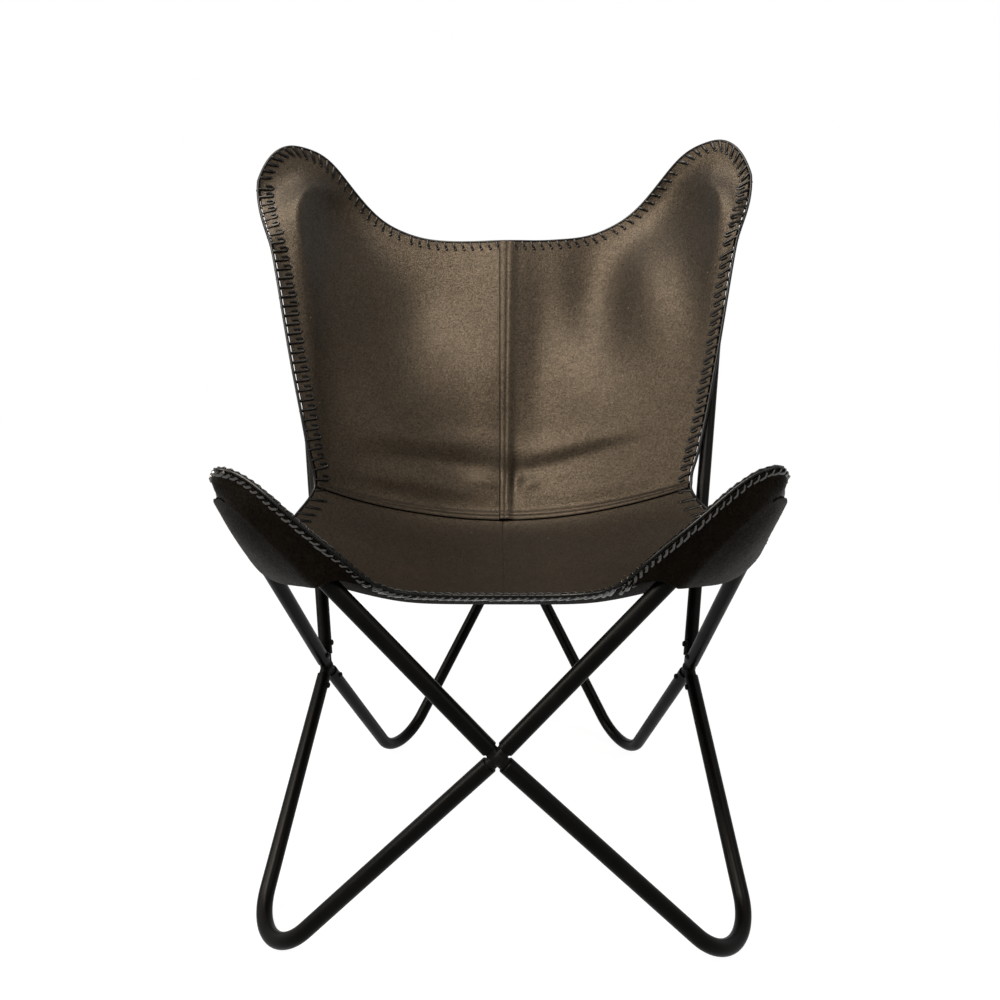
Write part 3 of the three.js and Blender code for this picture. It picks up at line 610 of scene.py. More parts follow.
# Sets a small shape on every point of a path, turned by the path's own directions
def repeat_tree():
    tree = new_tree("set_along_path", {
        "Path": "Geometry", "Shape": "Object", "Length": "Float", "Width": "Float", "Height": "Float",
        "Unevenness": "Float", "Seed": "Int", "Finish": "Material",
    }, "Repeats")
    given = add_node(tree, "NodeGroupInput").outputs
    shape = add_node(tree, "GeometryNodeObjectInfo", inputs={"Object": given["Shape"]})
    size = add_node(tree, "ShaderNodeCombineXYZ", inputs={
        "X": given["Length"], "Y": given["Width"], "Z": given["Height"]})
    sized = add_node(tree, "GeometryNodeTransform", inputs={
        "Geometry": shape.outputs["Geometry"], "Scale": size.outputs["Vector"]})
    inward, facing = (
        add_node(tree, "GeometryNodeInputNamedAttribute", {"data_type": "FLOAT_VECTOR"}, {"Name": direction})
        for direction in PATH_DIRECTIONS)
    turn = add_node(tree, "FunctionNodeAxesToRotation", {"primary_axis": "Z", "secondary_axis": "X"}, {
        "Primary Axis": facing.outputs["Attribute"], "Secondary Axis": inward.outputs["Attribute"]})
    least = add_node(tree, "ShaderNodeMath", {"operation": "SUBTRACT"}, {0: 1.0, 1: given["Unevenness"]})
    most = add_node(tree, "ShaderNodeMath", {"operation": "ADD"}, {0: 1.0, 1: given["Unevenness"]})
    uneven = add_node(tree, "FunctionNodeRandomValue", {"data_type": "FLOAT_VECTOR"}, {
        0: least.outputs["Value"], 1: most.outputs["Value"], "Seed": given["Seed"]})
    placed = add_node(tree, "GeometryNodeInstanceOnPoints", inputs={
        "Points": given["Path"], "Instance": sized.outputs["Geometry"],
        "Rotation": turn.outputs["Rotation"], "Scale": uneven.outputs[0]})
    end_tree(tree, placed.outputs["Instances"], given["Finish"], "Repeats")
    return tree


repeats = repeat_tree()


def repeat_along(name, points_mm, inward, facing, shape, sizes_mm, unevenness, seed, material):
    mesh = bpy.data.meshes.new(f"{name}_path")
    mesh.from_pydata(in_scene(points_mm).tolist(), [], [])
    for direction, vectors in zip(PATH_DIRECTIONS, (inward, facing)):
        layer = mesh.attributes.new(direction, "FLOAT_VECTOR", "POINT")
        layer.data.foreach_set("vector", np.asarray(vectors, np.float32).ravel())
    length, width, height = sizes_mm
    piece = made_by(repeats, name, add_object(f"{name}_path", mesh), {
        "Shape": shape, "Length": length * MM, "Width": width * MM, "Height": height * MM,
        "Unevenness": unevenness, "Seed": seed, "Finish": material,
    })
    attributes = piece.data.attributes
    for direction in PATH_DIRECTIONS:
        if direction in attributes:
            attributes.remove(attributes[direction])
    mark_sharp(piece.data, SHARP_SMALL)
    return piece


def shape_object(name, vertices, faces):
    mesh = bpy.data.meshes.new(name)
    mesh.from_pydata(np.asarray(vertices, float).tolist(), [], [list(face) for face in faces])
    face_out(mesh)
    return add_object(name, mesh)


# Screw: a button head with a six-sided socket, one unit in radius and one unit high, on a short shank
SCREW_SIDES = 12
# Radius and height of its rings, from the shank's end over the head to the socket's floor
SCREW_RINGS = [
    (0.5, -0.9), (0.5, 0.0), (1.0, 0.0), (1.0, 0.35), (0.9, 0.68), (0.66, 0.92), (0.42, 1.0), (0.38, 0.5),
]
# Rings inside this radius belong to the socket, where every other point lies on a flat
SOCKET_RADIUS = 0.45
SOCKET_FLAT = math.cos(math.pi / 6)


def screw_shape():
    vertices = []
    for radius, height in SCREW_RINGS:
        for k in range(SCREW_SIDES):
            turn = 2 * math.pi * k / SCREW_SIDES
            corner = 1.0 if radius > SOCKET_RADIUS or k % 2 == 0 else SOCKET_FLAT
            vertices.append((radius * corner * math.cos(turn), radius * corner * math.sin(turn), height))
    return shape_object("screw_shape", vertices, ring_faces(len(SCREW_RINGS), SCREW_SIDES))


# One screw at each tube end, on the inner side of its crossing; ends without a name get theirs by mirroring
def screw_points():
    places, axes, alongs, names = [], [], [], []
    sets = [
        (front_crossing, np.array([0.0, 1.0, 0.0]), [
            "arm_to_front_cross_screw", None, "foot_to_front_cross_screw", None]),
        (side_crossing, np.array([-1.0, 0.0, 0.0]), [
            "arm_to_side_cross_screw", "ear_to_side_cross_screw",
            "front_foot_to_side_cross_screw", "back_foot_to_side_cross_screw"]),
        (back_crossing, np.array([0.0, -1.0, 0.0]), [
            "ear_to_back_cross_screw", None, "foot_to_back_cross_screw", None]),
    ]
    for cross, inward, screw_names in sets:
        for along, screw_name in zip(cross["directions"], screw_names):
            if screw_name is None:
                continue
            axis = unit(inward - along * (inward @ along))
            place = cross["place"] + along * (cross["rim"] + SCREW_SET_BACK) + axis * TUBE_RADIUS
            for side_name, side in SIDES.items():
                places.append(place * FLIPS[side])
                axes.append(axis * FLIPS[side])
                alongs.append(along * FLIPS[side])
                names.append(f"{screw_name}_{side_name}")
    return places, axes, alongs, names


screw = screw_shape()
screw_places, screw_axes, screw_alongs, screw_nodes = screw_points()
screws = repeat_along(
    "frame_screws", screw_places, screw_alongs, screw_axes, screw,
    (SCREW_HEAD_RADIUS, SCREW_HEAD_RADIUS, SCREW_HEAD_HEIGHT), unevenness=0.0, seed=1, material=oxide)
bpy.data.objects.remove(screw)
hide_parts(*screw_nodes)
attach(screws, "root")


# The sling's loft: cross sections from the ears down the back, over the seam and along the seat to the arms

# From a tube's middle to the middle of the leather that lies on it
LAY_DISTANCE = TUBE_RADIUS + LEATHER / 2 + LEATHER_ON_TUBE
# Back edge: share of the way up the ear tube's side leg, and how far the edge stands outside it
BACK_EDGE_STATIONS = [(0.829, 34), (0.737, 44), (0.606, 28), (0.445, 11), (0.321, -5), (0.258, -12)]
# Seat edge: share of the way from the waist to the arm's tip
SEAT_EDGE_STATIONS = [0.17, 0.39, 0.68, 0.96, 1.13]
# How far the middle line lies behind and below the edge
BUCKET_DEPTH = [
    (70, 22), (104, 26), (112, 17), (118, 6), (115, 18), (82, 59), (45, 65), (6, 60), (0, 57), (0, 73),
    (4, 85),
]
# Share of the half width over which a section is flat, and the power with which it then rises
SECTION_SHAPE = [
    (0.7, 1.15), (0.66, 1.2), (0.45, 1.4), (0.15, 1.8), (0, 2), (0, 2), (0, 2), (0.1, 1.9), (0.25, 1.6),
    (0.42, 1.0), (0.42, 0.92),
]
# Station of the seam between back and seat
SEAM_STATION = 5
# How gently a section turns from its flat part to its rise, at the ears and at the arms
EAR_RISE_EASE = 0.3
ARM_RISE_EASE = 0.1
# Stations between which that changes, and between which the back's drift to one side fades out
EASE_CHANGE = (5, 9)
DRIFT_FADE = (4.6, 7.6)
# Station step over which the loft's direction is taken
NORMAL_STEP = 0.02
# Outlines of the cut leather and of the pockets' mouths, as station over share of the half width
TOP_EDGE = [
    (-0.05, 1.41), (0.2, 1.4), (0.36, 1.35), (0.45, 1.25), (0.545, 1.07), (0.615, 0.77), (0.69, 0.38),
    (0.76, 0.08), (0.83, 0), (0.9, 0), (0.95, 0.22), (0.975, 0.45), (0.99, 0.68), (1, 1),
]
EAR_MOUTH = [(0, 1.6), (0.45, 1.55), (1, 1.85)]
ARM_MOUTH = [
    (0, 8.6), (0.3, 8.85), (0.45, 9.5), (0.51, 9.62), (0.58, 9.3), (0.72, 8.7), (0.9, 8.15), (1, 7.9),
]
FRONT_EDGE = [
    (-0.05, 9), (0.2, 9.02), (0.34, 9.15), (0.42, 9.45), (0.5, 9.8), (0.58, 9.95), (0.72, 9.98),
    (0.84, 9.93), (0.92, 9.85), (0.97, 9.7), (1, 9.42),
]


def edge_stations():
    edge = []
    for up, outside in BACK_EDGE_STATIONS:
        place = SIDE_CROSS + (EAR_CORNER - SIDE_CROSS) * up
        edge.append(place + np.array([outside, -LAY_DISTANCE, 0]))
    waist = edge[-1]
    tip = arm_route["top"] + np.array([ARM_FLANGE, 0, -ARM_FLANGE_DROP])
    for share in SEAT_EDGE_STATIONS:
        place = waist + (tip - waist) * share
        hang = 4 * share * (1 - share)
        edge.append(place + np.array([EDGE_BULGE * hang, 0, -EDGE_SAG * hang]))
    return np.array(edge)


edge_line = edge_stations()
behind, below = np.array(BUCKET_DEPTH, float).T
middle_line = np.stack([np.zeros(len(edge_line)), edge_line[:, 1] + behind, edge_line[:, 2] - below], 1)
section_shape = np.array(SECTION_SHAPE, float)


# A place on a smooth curve through all of the points
def smooth_through(points, station):
    inside = np.clip(np.asarray(station, float), 0, len(points) - 1)
    first = np.minimum(inside.astype(int), len(points) - 2)
    share = (inside - first)[..., None]
    longer = np.vstack([2 * points[0] - points[1], points, 2 * points[-1] - points[-2]])
    before, here, following, after = (longer[first + step] for step in range(4))
    leave = 0.5 * (following - before)
    arrive = 0.5 * (after - here)
    cubic = (2 * here - 2 * following + leave + arrive) * share ** 3
    return cubic + (3 * following - 3 * here - 2 * leave - arrive) * share ** 2 + leave * share + here


# The sling's middle surface at a share of the half width and a station
def loft(across, station):
    edge = smooth_through(edge_line, station)
    middle = smooth_through(middle_line, station)
    shape = smooth_through(section_shape, station)
    beyond = (np.abs(across) - shape[..., 0]) / (1 - shape[..., 0])
    ease = EAR_RISE_EASE + (ARM_RISE_EASE - EAR_RISE_EASE) * smooth_step(*EASE_CHANGE, station)
    eased = (beyond + np.sqrt(beyond ** 2 + ease ** 2)) / (1 + np.sqrt(1 + ease ** 2))
    lift = eased ** shape[..., 1]
    drift = BACK_DRIFT * (1 - smooth_step(*DRIFT_FADE, station))
    return np.stack([
        edge[..., 0] * across + drift,
        middle[..., 1] + (edge[..., 1] - middle[..., 1]) * lift,
        middle[..., 2] + (edge[..., 2] - middle[..., 2]) * lift,
    ], -1)


def loft_normals(across, station):
    inside = np.clip(station, NORMAL_STEP, len(edge_line) - 1 - NORMAL_STEP)
    over = loft(across + NORMAL_STEP, station) - loft(across - NORMAL_STEP, station)
    down = loft(across, inside + NORMAL_STEP) - loft(across, inside - NORMAL_STEP)
    return units(np.cross(down, over))


# An outline's station at a share of the half width, on a smooth curve through its points
def outline_at(outline, across):
    stops = np.array(outline, float)
    slopes = np.gradient(stops[:, 1]) / np.gradient(stops[:, 0])
    first = np.clip(np.searchsorted(stops[:, 0], across) - 1, 0, len(stops) - 2)
    width = stops[first + 1, 0] - stops[first, 0]
    t = np.clip((across - stops[first, 0]) / width, 0, 1)
    value = (2 * t ** 3 - 3 * t ** 2 + 1) * stops[first, 1] + (3 * t ** 2 - 2 * t ** 3) * stops[first + 1, 1]
    bend = (t ** 3 - 2 * t ** 2 + t) * slopes[first] + (t ** 3 - t ** 2) * slopes[first + 1]
    return value + width * bend


# One fine grid covers the sling: columns from the left edge to the right, rows from the top edge to the front
EAR_ROWS = 30
BACK_ROWS = 92
RAMP_ROWS = 6
LAP_ROWS = 8
SEAT_ROWS = 60
ARM_ROWS = 30
LAP_COLUMNS = 4
RAMP_COLUMNS = 5
WIDE_COLUMNS = 64
# Shares of the half width at which the pockets begin
EAR_POCKET_SHARE = 0.45
ARM_POCKET_SHARE = 0.4

waist_x = edge_line[SEAM_STATION][0]
station_length = np.linalg.norm(middle_line[SEAM_STATION] - middle_line[SEAM_STATION + 1])
lap_stations = SEAM_LAP / 2 / station_length
ramp_stations = LAP_RAMP / station_length
lap_share = SEAM_LAP / 2 / waist_x
ramp_share = (SEAM_LAP / 2 + LAP_RAMP) / waist_x
# The columns close up towards the edge, where the outline turns
wide_steps = np.linspace(0, 1, WIDE_COLUMNS + 1)[1:]
half_columns = np.concatenate([
    np.linspace(0, lap_share, LAP_COLUMNS + 1),
    np.linspace(lap_share, ramp_share, RAMP_COLUMNS + 1)[1:],
    ramp_share + (1 - ramp_share) * (wide_steps + np.sin(wide_steps * math.pi / 2)) / 2,
])
columns = np.concatenate([-half_columns[:0:-1], half_columns])
MIDDLE = len(half_columns) - 1
LAP_ROW = EAR_ROWS + BACK_ROWS + RAMP_ROWS
SEAM_END_ROW = LAP_ROW + LAP_ROWS
ARM_MOUTH_ROW = SEAM_END_ROW + SEAT_ROWS


# Station of every point of the grid, with rows shared out between the outlines
def grid_stations():
    width = np.abs(columns)
    even = np.ones_like(width)
    stops = [
        outline_at(TOP_EDGE, width), outline_at(EAR_MOUTH, width),
        even * (SEAM_STATION - lap_stations - ramp_stations), even * (SEAM_STATION - lap_stations),
        even * (SEAM_STATION + lap_stations), outline_at(ARM_MOUTH, width), outline_at(FRONT_EDGE, width),
    ]
    counts = [EAR_ROWS, BACK_ROWS, RAMP_ROWS, LAP_ROWS, SEAT_ROWS, ARM_ROWS]
    rows = [stops[0][None, :]]
    for k, count in enumerate(counts):
        shares = np.linspace(0, 1, count + 1)[1:, None]
        rows.append(stops[k] + (stops[k + 1] - stops[k]) * shares)
    return np.vstack(rows)


stations = grid_stations()
across_grid = np.broadcast_to(columns, stations.shape)
bare_sling = loft(across_grid, stations)
bare_normals = loft_normals(across_grid, stations)


# The leather is laid over the upper tubes and drawn taut between them

# Spacing of the places that stand for a tube, and how far ahead the panel and a pocket feel them
PLACE_STEP = 3.0
LAY_REACH = 70.0
PASS_REACH = 120.0
# Length over which the panel's tension fades, and that of the pockets, which is as good as endless
PANEL_SLACK = 34.0
POCKET_SLACK = 1e4
# Rounds in which the tension spreads over the grid
PANEL_ROUNDS = 900
POCKET_ROUNDS = 2500
# Neighbours are taken to lie at least this far apart
LEAST_STEP = 1.0
# Points worked on together
BATCH = 1500


# Places along a tube, and which of them a pocket takes in
def places_along(route, reach):
    line = route["line"]
    places, in_pocket = [], []
    for i in range(len(line) - 1):
        count = math.ceil(np.linalg.norm(line[i + 1] - line[i]) / PLACE_STEP)
        for k in range(count):
            place = line[i] + (line[i + 1] - line[i]) * k / count
            on_leg = i in (0, len(line) - 2)
            from_bend = min(np.linalg.norm(place - line[1]), np.linalg.norm(place - line[-2]))
            places.append(place)
            in_pocket.append(not on_leg or from_bend < reach)
    return np.array(places), np.array(in_pocket)


arm_places, arm_in_pocket = places_along(arm_route, ARM_POCKET_REACH)
ear_places, ear_in_pocket = places_along(ear_route, EAR_POCKET_REACH)
right_places = np.vstack([arm_places, ear_places])
tube_places = np.vstack([right_places, right_places * MIRROR])
pocket_places = np.vstack([arm_places[arm_in_pocket], ear_places[ear_in_pocket]])
pocket_places = np.vstack([pocket_places, pocket_places * MIRROR])


# How far each point has to move along its direction for the tubes to lie behind it
def lift_past(points, directions, places, reach, ahead_only):
    flat_points = points.reshape(-1, 3)
    flat_directions = directions.reshape(-1, 3)
    lift = np.zeros(len(flat_points))
    for start in range(0, len(flat_points), BATCH):
        chosen = slice(start, start + BATCH)
        offset = places[None, :, :] - flat_points[chosen, None, :]
        along = np.einsum("ijk,ik->ij", offset, flat_directions[chosen])
        aside = np.einsum("ijk,ijk->ij", offset, offset) - along ** 2
        close = (aside < LAY_DISTANCE ** 2) & (along < reach)
        if ahead_only:
            close &= along > 0
        past = along + np.sqrt(np.maximum(LAY_DISTANCE ** 2 - aside, 0))
        lift[chosen] = np.where(close, past, 0).max(axis=1)
    return np.maximum(lift, 0).reshape(points.shape[:2])


# Stiff leather does not crease over a tube: it stands a little off it and bends in a wider curve.
# How far it stands off, and how many rounds of smoothing widen the curve.
PANEL_STIFFNESS = (3.0, 18)
POCKET_STIFFNESS = (2.0, 8)


# Tension: a free point rises to its need, or to what its neighbours pull it to
def draw_taut(need, points, held, slack, rounds, stiffness):
    stiff_rise, stiff_rounds = stiffness
    down = np.maximum(np.linalg.norm(np.diff(points, axis=0), axis=-1), LEAST_STEP)
    over = np.maximum(np.linalg.norm(np.diff(points, axis=1), axis=-1), LEAST_STEP)
    weight = np.zeros((4, *need.shape))
    weight[0, 1:] = 1 / down ** 2
    weight[1, :-1] = 1 / down ** 2
    weight[2, :, 1:] = 1 / over ** 2
    weight[3, :, :-1] = 1 / over ** 2
    total = weight.sum(axis=0)

    def pull(height):
        pulled = np.zeros_like(height)
        pulled[1:] += weight[0, 1:] * height[:-1]
        pulled[:-1] += weight[1, :-1] * height[1:]
        pulled[:, 1:] += weight[2, :, 1:] * height[:, :-1]
        pulled[:, :-1] += weight[3, :, :-1] * height[:, 1:]
        return pulled

    raised = np.where(held | (need == 0), need, need + stiff_rise)
    height = raised.copy()
    for _ in range(rounds):
        height = np.where(held, raised, np.maximum(raised, pull(height) / (total + 1 / slack ** 2)))
    for _ in range(stiff_rounds):
        height = np.where(held, raised, (height + pull(height) / total) / 2)
    return np.maximum(height, need)


# Normals of a grid of points, on the side that a guide shows
def grid_normals(points, guide):
    normal = np.cross(np.gradient(points, axis=0), np.gradient(points, axis=1))
    length = np.linalg.norm(normal, axis=-1)[..., None]
    normal = np.where(length > TINY, units(normal), guide)
    return np.where((normal * guide).sum(-1)[..., None] < 0, -normal, normal)


sling_need = lift_past(bare_sling, bare_normals, tube_places, LAY_REACH, False)
nothing_held = np.zeros(sling_need.shape, bool)
sling_height = draw_taut(sling_need, bare_sling, nothing_held, PANEL_SLACK, PANEL_ROUNDS, PANEL_STIFFNESS)
sling = bare_sling + bare_normals * sling_height[..., None]


# Soft swells and folds: place across and above the seam, half width, half height, height and tilt in degrees
SWELLS = [
    (-10, 270, 40, 190, 5.5, 0),
    (48, 300, 28, 150, -3.5, 0),
    (130, 345, 46, 95, -12.0, 6),
    (208, 345, 40, 95, 10.0, 8),
    (150, 190, 70, 60, 4.0, 0),
    (-140, 325, 75, 120, -12.0, -12),
    (-175, 150, 48, 110, 7.0, 28),
    (-105, 124, 95, 18, 3.6, -6),
    (-110, 50, 110, 24, 5.5, -5),
    (110, 122, 95, 18, 3.4, 14),
    (115, 40, 110, 24, 5.0, 4),
    (-95, 88, 90, 14, -2.5, -5),
    (95, 96, 85, 14, -2.5, 14),
    (9, 70, 9, 34, -5.5, 0),
    (34, 58, 20, 11, 3.0, 24),
    (-34, 60, 26, 10, 2.5, -14),
]
# Samples of the middle line, along which heights above the seam are measured
LINE_SAMPLES = 400


def swell_heights():
    samples = np.linspace(0, len(middle_line) - 1, LINE_SAMPLES)
    run = run_along(smooth_through(middle_line, samples))
    above = np.interp(SEAM_STATION, samples, run) - np.interp(stations, samples, run)
    height = np.zeros(stations.shape)
    for across, up, half_width, half_height, rise, tilt in SWELLS:
        turn = math.radians(tilt)
        sideways = sling[..., 0] - across
        upwards = above - up
        along = sideways * math.cos(turn) + upwards * math.sin(turn)
        aside = upwards * math.cos(turn) - sideways * math.sin(turn)
        height += rise * np.exp(-(along / half_width) ** 2 - (aside / half_height) ** 2)
    return height


# Swells fade out where the tubes hold the leather up
FREE_HEIGHT = 1.0
PRESSED_HEIGHT = 12.0

# The cut of the ears is rounded off where its curves meet, also on the first rows of the sides
ROUNDING_ROUNDS = 14
TAIL_ROWS = 12


def round_top_edge(points):
    line = np.vstack([points[TAIL_ROWS:0:-1, 0], points[0], points[1:TAIL_ROWS + 1, -1]])
    rounded = line.copy()
    for _ in range(ROUNDING_ROUNDS):
        rounded[1:-1] = (rounded[:-2] + 2 * rounded[1:-1] + rounded[2:]) / 4
    move = (rounded - line)[TAIL_ROWS:len(line) - TAIL_ROWS]
    fade = (1 - np.linspace(0, 1, EAR_ROWS + 1)) ** 2
    shaped = points.copy()
    shaped[:EAR_ROWS + 1] += fade[:, None, None] * move[None]
    return shaped


sling = round_top_edge(sling)
sling_normals = grid_normals(sling, bare_normals)
pressed = smooth_step(FREE_HEIGHT, PRESSED_HEIGHT, sling_height)
sling = sling + sling_normals * (swell_heights() * (1 - pressed))[..., None]
sling_normals = grid_normals(sling, bare_normals)


# A leather sheet from a grid of middle points: grain face, flesh face and a rounded cut rim

def rim_loop(rows, count):
    loop = [(0, j) for j in range(count)]
    loop += [(i, count - 1) for i in range(1, rows)]
    loop += [(rows - 1, j) for j in range(count - 2, -1, -1)]
    loop += [(i, 0) for i in range(rows - 2, 0, -1)]
    return np.array(loop)


def loop_frame(points, normals, loop):
    places = points[loop[:, 0], loop[:, 1]]
    facing = normals[loop[:, 0], loop[:, 1]]
    along = units(np.roll(places, -1, axis=0) - np.roll(places, 1, axis=0))
    return places, along, units(np.cross(along, facing)), facing


def sheet_piece(name, points, normals, face_finish, under_finish):
    rows, count = points.shape[:2]
    loop = rim_loop(rows, count)
    places, _, inward, _ = loop_frame(points, normals, loop)
    cells = rows * count
    top = (points + normals * LEATHER / 2).reshape(-1, 3)
    under = (points - normals * LEATHER / 2).reshape(-1, 3)
    rounded = places - inward * LEATHER / 4
    vertices = np.vstack([top, under, rounded])
    grid = np.arange(cells).reshape(rows, count)
    quads = np.stack([grid[:-1, :-1], grid[1:, :-1], grid[1:, 1:], grid[:-1, 1:]], -1).reshape(-1, 4)
    on_rim = grid[loop[:, 0], loop[:, 1]]
    next_rim = np.roll(on_rim, -1)
    middle = 2 * cells + np.arange(len(loop))
    next_middle = np.roll(middle, -1)
    upper_rim = np.stack([on_rim, next_rim, next_middle, middle], -1)
    lower_rim = np.stack([middle, next_middle, next_rim + cells, on_rim + cells], -1)
    faces = np.vstack([quads, quads[:, ::-1] + cells, upper_rim, lower_rim])
    finishes = np.zeros(len(faces), int)
    finishes[len(quads):] = 1
    return mesh_object(name, vertices, faces, [face_finish, under_finish], finishes, SHARP_LEATHER)


# Back halves: the right one laps over the left one, and both lap over the seat

# Each row of stitches lies this far from the middle of its seam, in a groove
SEAM_STITCH_OUT = 3.75
GROOVE_DEPTH = 1.0
GROOVE_WIDTH = 1.2
row_numbers = np.arange(sling.shape[0])


def groove(distance):
    return GROOVE_DEPTH * np.exp(-((np.abs(distance) - SEAM_STITCH_OUT) / GROOVE_WIDTH) ** 2)


from_cross_seam = (row_numbers - LAP_ROW - LAP_ROWS / 2) * SEAM_LAP / LAP_ROWS
over_seat = LAYER * smooth_step(LAP_ROW - RAMP_ROWS, LAP_ROW, row_numbers) - groove(from_cross_seam)
over_other = LAYER * (1 - smooth_step(lap_share, ramp_share, np.abs(columns))) - groove(columns * waist_x)
back_rows = slice(0, SEAM_END_ROW + 1)
left_columns = slice(0, MIDDLE + LAP_COLUMNS + 1)
right_columns = slice(MIDDLE - LAP_COLUMNS, None)


def raised_back(chosen, laps_over):
    offset = over_seat[back_rows, None] + (over_other[None, chosen] if laps_over else 0)
    normals = sling_normals[back_rows, chosen]
    return sling[back_rows, chosen] + normals * offset[..., None], normals


back_left_points, back_left_normals = raised_back(left_columns, False)
back_right_points, back_right_normals = raised_back(right_columns, True)

# Seat halves: they meet edge to edge, this far from the middle
SEAT_GAP = 0.15
seat_rows = slice(LAP_ROW, None)


def seat_half(chosen, side):
    points = sling[seat_rows, chosen].copy()
    inner = 0 if side > 0 else -1
    points[:, inner, 0] += side * SEAT_GAP
    return points, sling_normals[seat_rows, chosen]


seat_left_points, seat_left_normals = seat_half(slice(0, MIDDLE + 1), -1)
seat_right_points, seat_right_normals = seat_half(slice(MIDDLE, None), 1)


# Pockets: a second leather laced to the panel's rim and drawn round the far side of the tubes
def pocket_grid(rows, side, share, rim_row):
    inner = int(np.searchsorted(half_columns, share))
    chosen = slice(MIDDLE + inner, None) if side > 0 else slice(0, MIDDLE - inner + 1)
    away = -sling_normals[rows, chosen]
    flush = sling[rows, chosen] + away * LAYER
    held = np.zeros(flush.shape[:2], bool)
    held[rim_row] = True
    held[:, [0, -1]] = True
    need = np.where(held, 0, lift_past(flush, away, pocket_places, PASS_REACH, True))
    height = draw_taut(need, flush, held, POCKET_SLACK, POCKET_ROUNDS, POCKET_STIFFNESS)
    points = flush + away * height[..., None]
    return points, -grid_normals(points, away)


panels = {
    "sling_back_left": (back_left_points, back_left_normals),
    "sling_back_right": (back_right_points, back_right_normals),
    "sling_seat_left": (seat_left_points, seat_left_normals),
    "sling_seat_right": (seat_right_points, seat_right_normals),
}
pockets = {}
for side_name, side in SIDES.items():
    pockets[f"sling_ear_pocket_{side_name}"] = pocket_grid(slice(0, EAR_ROWS + 1), side, EAR_POCKET_SHARE, 0)
    pockets[f"sling_arm_pocket_{side_name}"] = pocket_grid(
        slice(ARM_MOUTH_ROW, None), side, ARM_POCKET_SHARE, -1)
leather_pieces = {name: sheet_piece(name, *grid, hide, flesh) for name, grid in panels.items()}
# Pockets show their grain side outwards in the darkened copy of the hide, which is painted shade
for name, grid in pockets.items():
    leather_pieces[name] = sheet_piece(name, *grid, flesh, pocket_hide_painted_shade)

# Each leather's node, its width, length and area as it was cut flat, in metres, and the tube it rests on
LEATHERS = {
    "sling_back": ("back_panel", 0.49, 0.555, 0.166, "ear_tube"),
    "sling_seat": ("seat_panel", 0.41, 0.505, 0.137, "arm_tube"),
    "sling_ear_pocket": ("ear_pocket", 0.345, 0.195, 0.039, "ear_tube"),
    "sling_arm_pocket": ("arm_pocket", 0.275, 0.19, 0.022, "arm_tube"),
}
for piece_name, piece in leather_pieces.items():
    leather_name, side_name = piece_name.rsplit("_", 1)
    node_name, width, length, area, tube_name = LEATHERS[leather_name]
    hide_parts(f"{node_name}_{side_name}")
    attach(piece, "root")


# Lacing: thongs laid from a hole, over the rim and a cord that runs along it, to a hole on the far side

# A thong's cross section, in shares of its width and height
THONG_SECTION = [(-0.5, 0.0), (-0.28, 0.42), (0.28, 0.42), (0.5, 0.0), (0.28, -0.42), (-0.28, -0.42)]
# A thong starts to turn over the rim this far inside it
TURN_START = 1.0
# Where a thong climbs more steeply than this, its flat side lies along the rim
STEEPEST = 0.3


# One thong in millimetres: x inwards from the rim, y along it, z up from the middle of the leather.
# It runs from its hole, with a hook where it has one, over the rim to the hole on the far side.
def thong_shape(name, reach, width, height, hook, out, under):
    over = LEATHER / 2 + height / 2
    below = -(LEATHER / 2 + height / 2 + under)
    path = []
    if hook:
        path += [(reach * 0.45, hook, over * 0.8), (reach - hook * 0.4, hook, over)]
        path += [(reach, hook * 0.5, over), (reach - hook * 0.35, 0, over)]
    else:
        path += [(reach, 0, over * 0.4), (reach * 0.9, 0, over)]
    path += [(TURN_START, 0, over), (-out, 0, over * 0.5), (-out, 0, below * 0.6)]
    path += [(TURN_START, 0, below), (reach, 0, below)]
    path = np.array(path, float)
    tangent = units(np.gradient(path, axis=0))
    sideways = np.stack([-tangent[:, 1], tangent[:, 0], np.zeros(len(path))], -1)
    flat = np.linalg.norm(sideways, axis=1)[:, None]
    sideways = np.where(flat > STEEPEST, sideways / np.maximum(flat, STEEPEST), [[0, 1, 0]])
    outward = np.cross(tangent, sideways)
    vertices = []
    for place, side, up in zip(path, sideways, outward):
        for wide, thick in THONG_SECTION:
            vertices.append(place + side * wide * width + up * thick * height)
    return shape_object(name, vertices, ring_faces(len(path), len(THONG_SECTION)))


# A bead: the knot of the thong in its hole, or a short stitch of thread
def bead_shape(name):
    shape = bmesh.new()
    bmesh.ops.create_icosphere(shape, subdivisions=1, radius=0.5)
    return add_object(name, mesh_of(shape, name))


# The sling's rim, and the stretches in which it is laced
outline_loop = rim_loop(*sling.shape[:2])
rim_places, rim_along, rim_inward, rim_facing = loop_frame(sling, sling_normals, outline_loop)
loop_rows, loop_columns = outline_loop[:, 0], outline_loop[:, 1]
loop_share = columns[loop_columns]
last_row = sling.shape[0] - 1
on_top = loop_rows == 0
on_front = loop_rows == last_row
on_side = ~on_top & ~on_front
# The lacing changes at this share of the top edge, and on the sides this many rows past the seam's two ends
EAR_TOP_SHARE = 0.72
ROWS_TO_FLARE = 2
ROWS_TO_ARM = 26
FLARE_START_ROW = LAP_ROW + ROWS_TO_FLARE
ARM_START_ROW = SEAM_END_ROW + ROWS_TO_ARM
edge_kinds = {
    "ear_top": on_top & (np.abs(loop_share) > EAR_TOP_SHARE),
    "top": on_top & (np.abs(loop_share) <= EAR_TOP_SHARE),
    "side_left": on_side & (loop_share < 0) & (loop_rows < FLARE_START_ROW),
    "side_right": on_side & (loop_share > 0) & (loop_rows < FLARE_START_ROW),
    "flare": on_side & (loop_rows >= FLARE_START_ROW) & (loop_rows < ARM_START_ROW),
    "arm": on_side & (loop_rows >= ARM_START_ROW),
    "front": on_front,
}
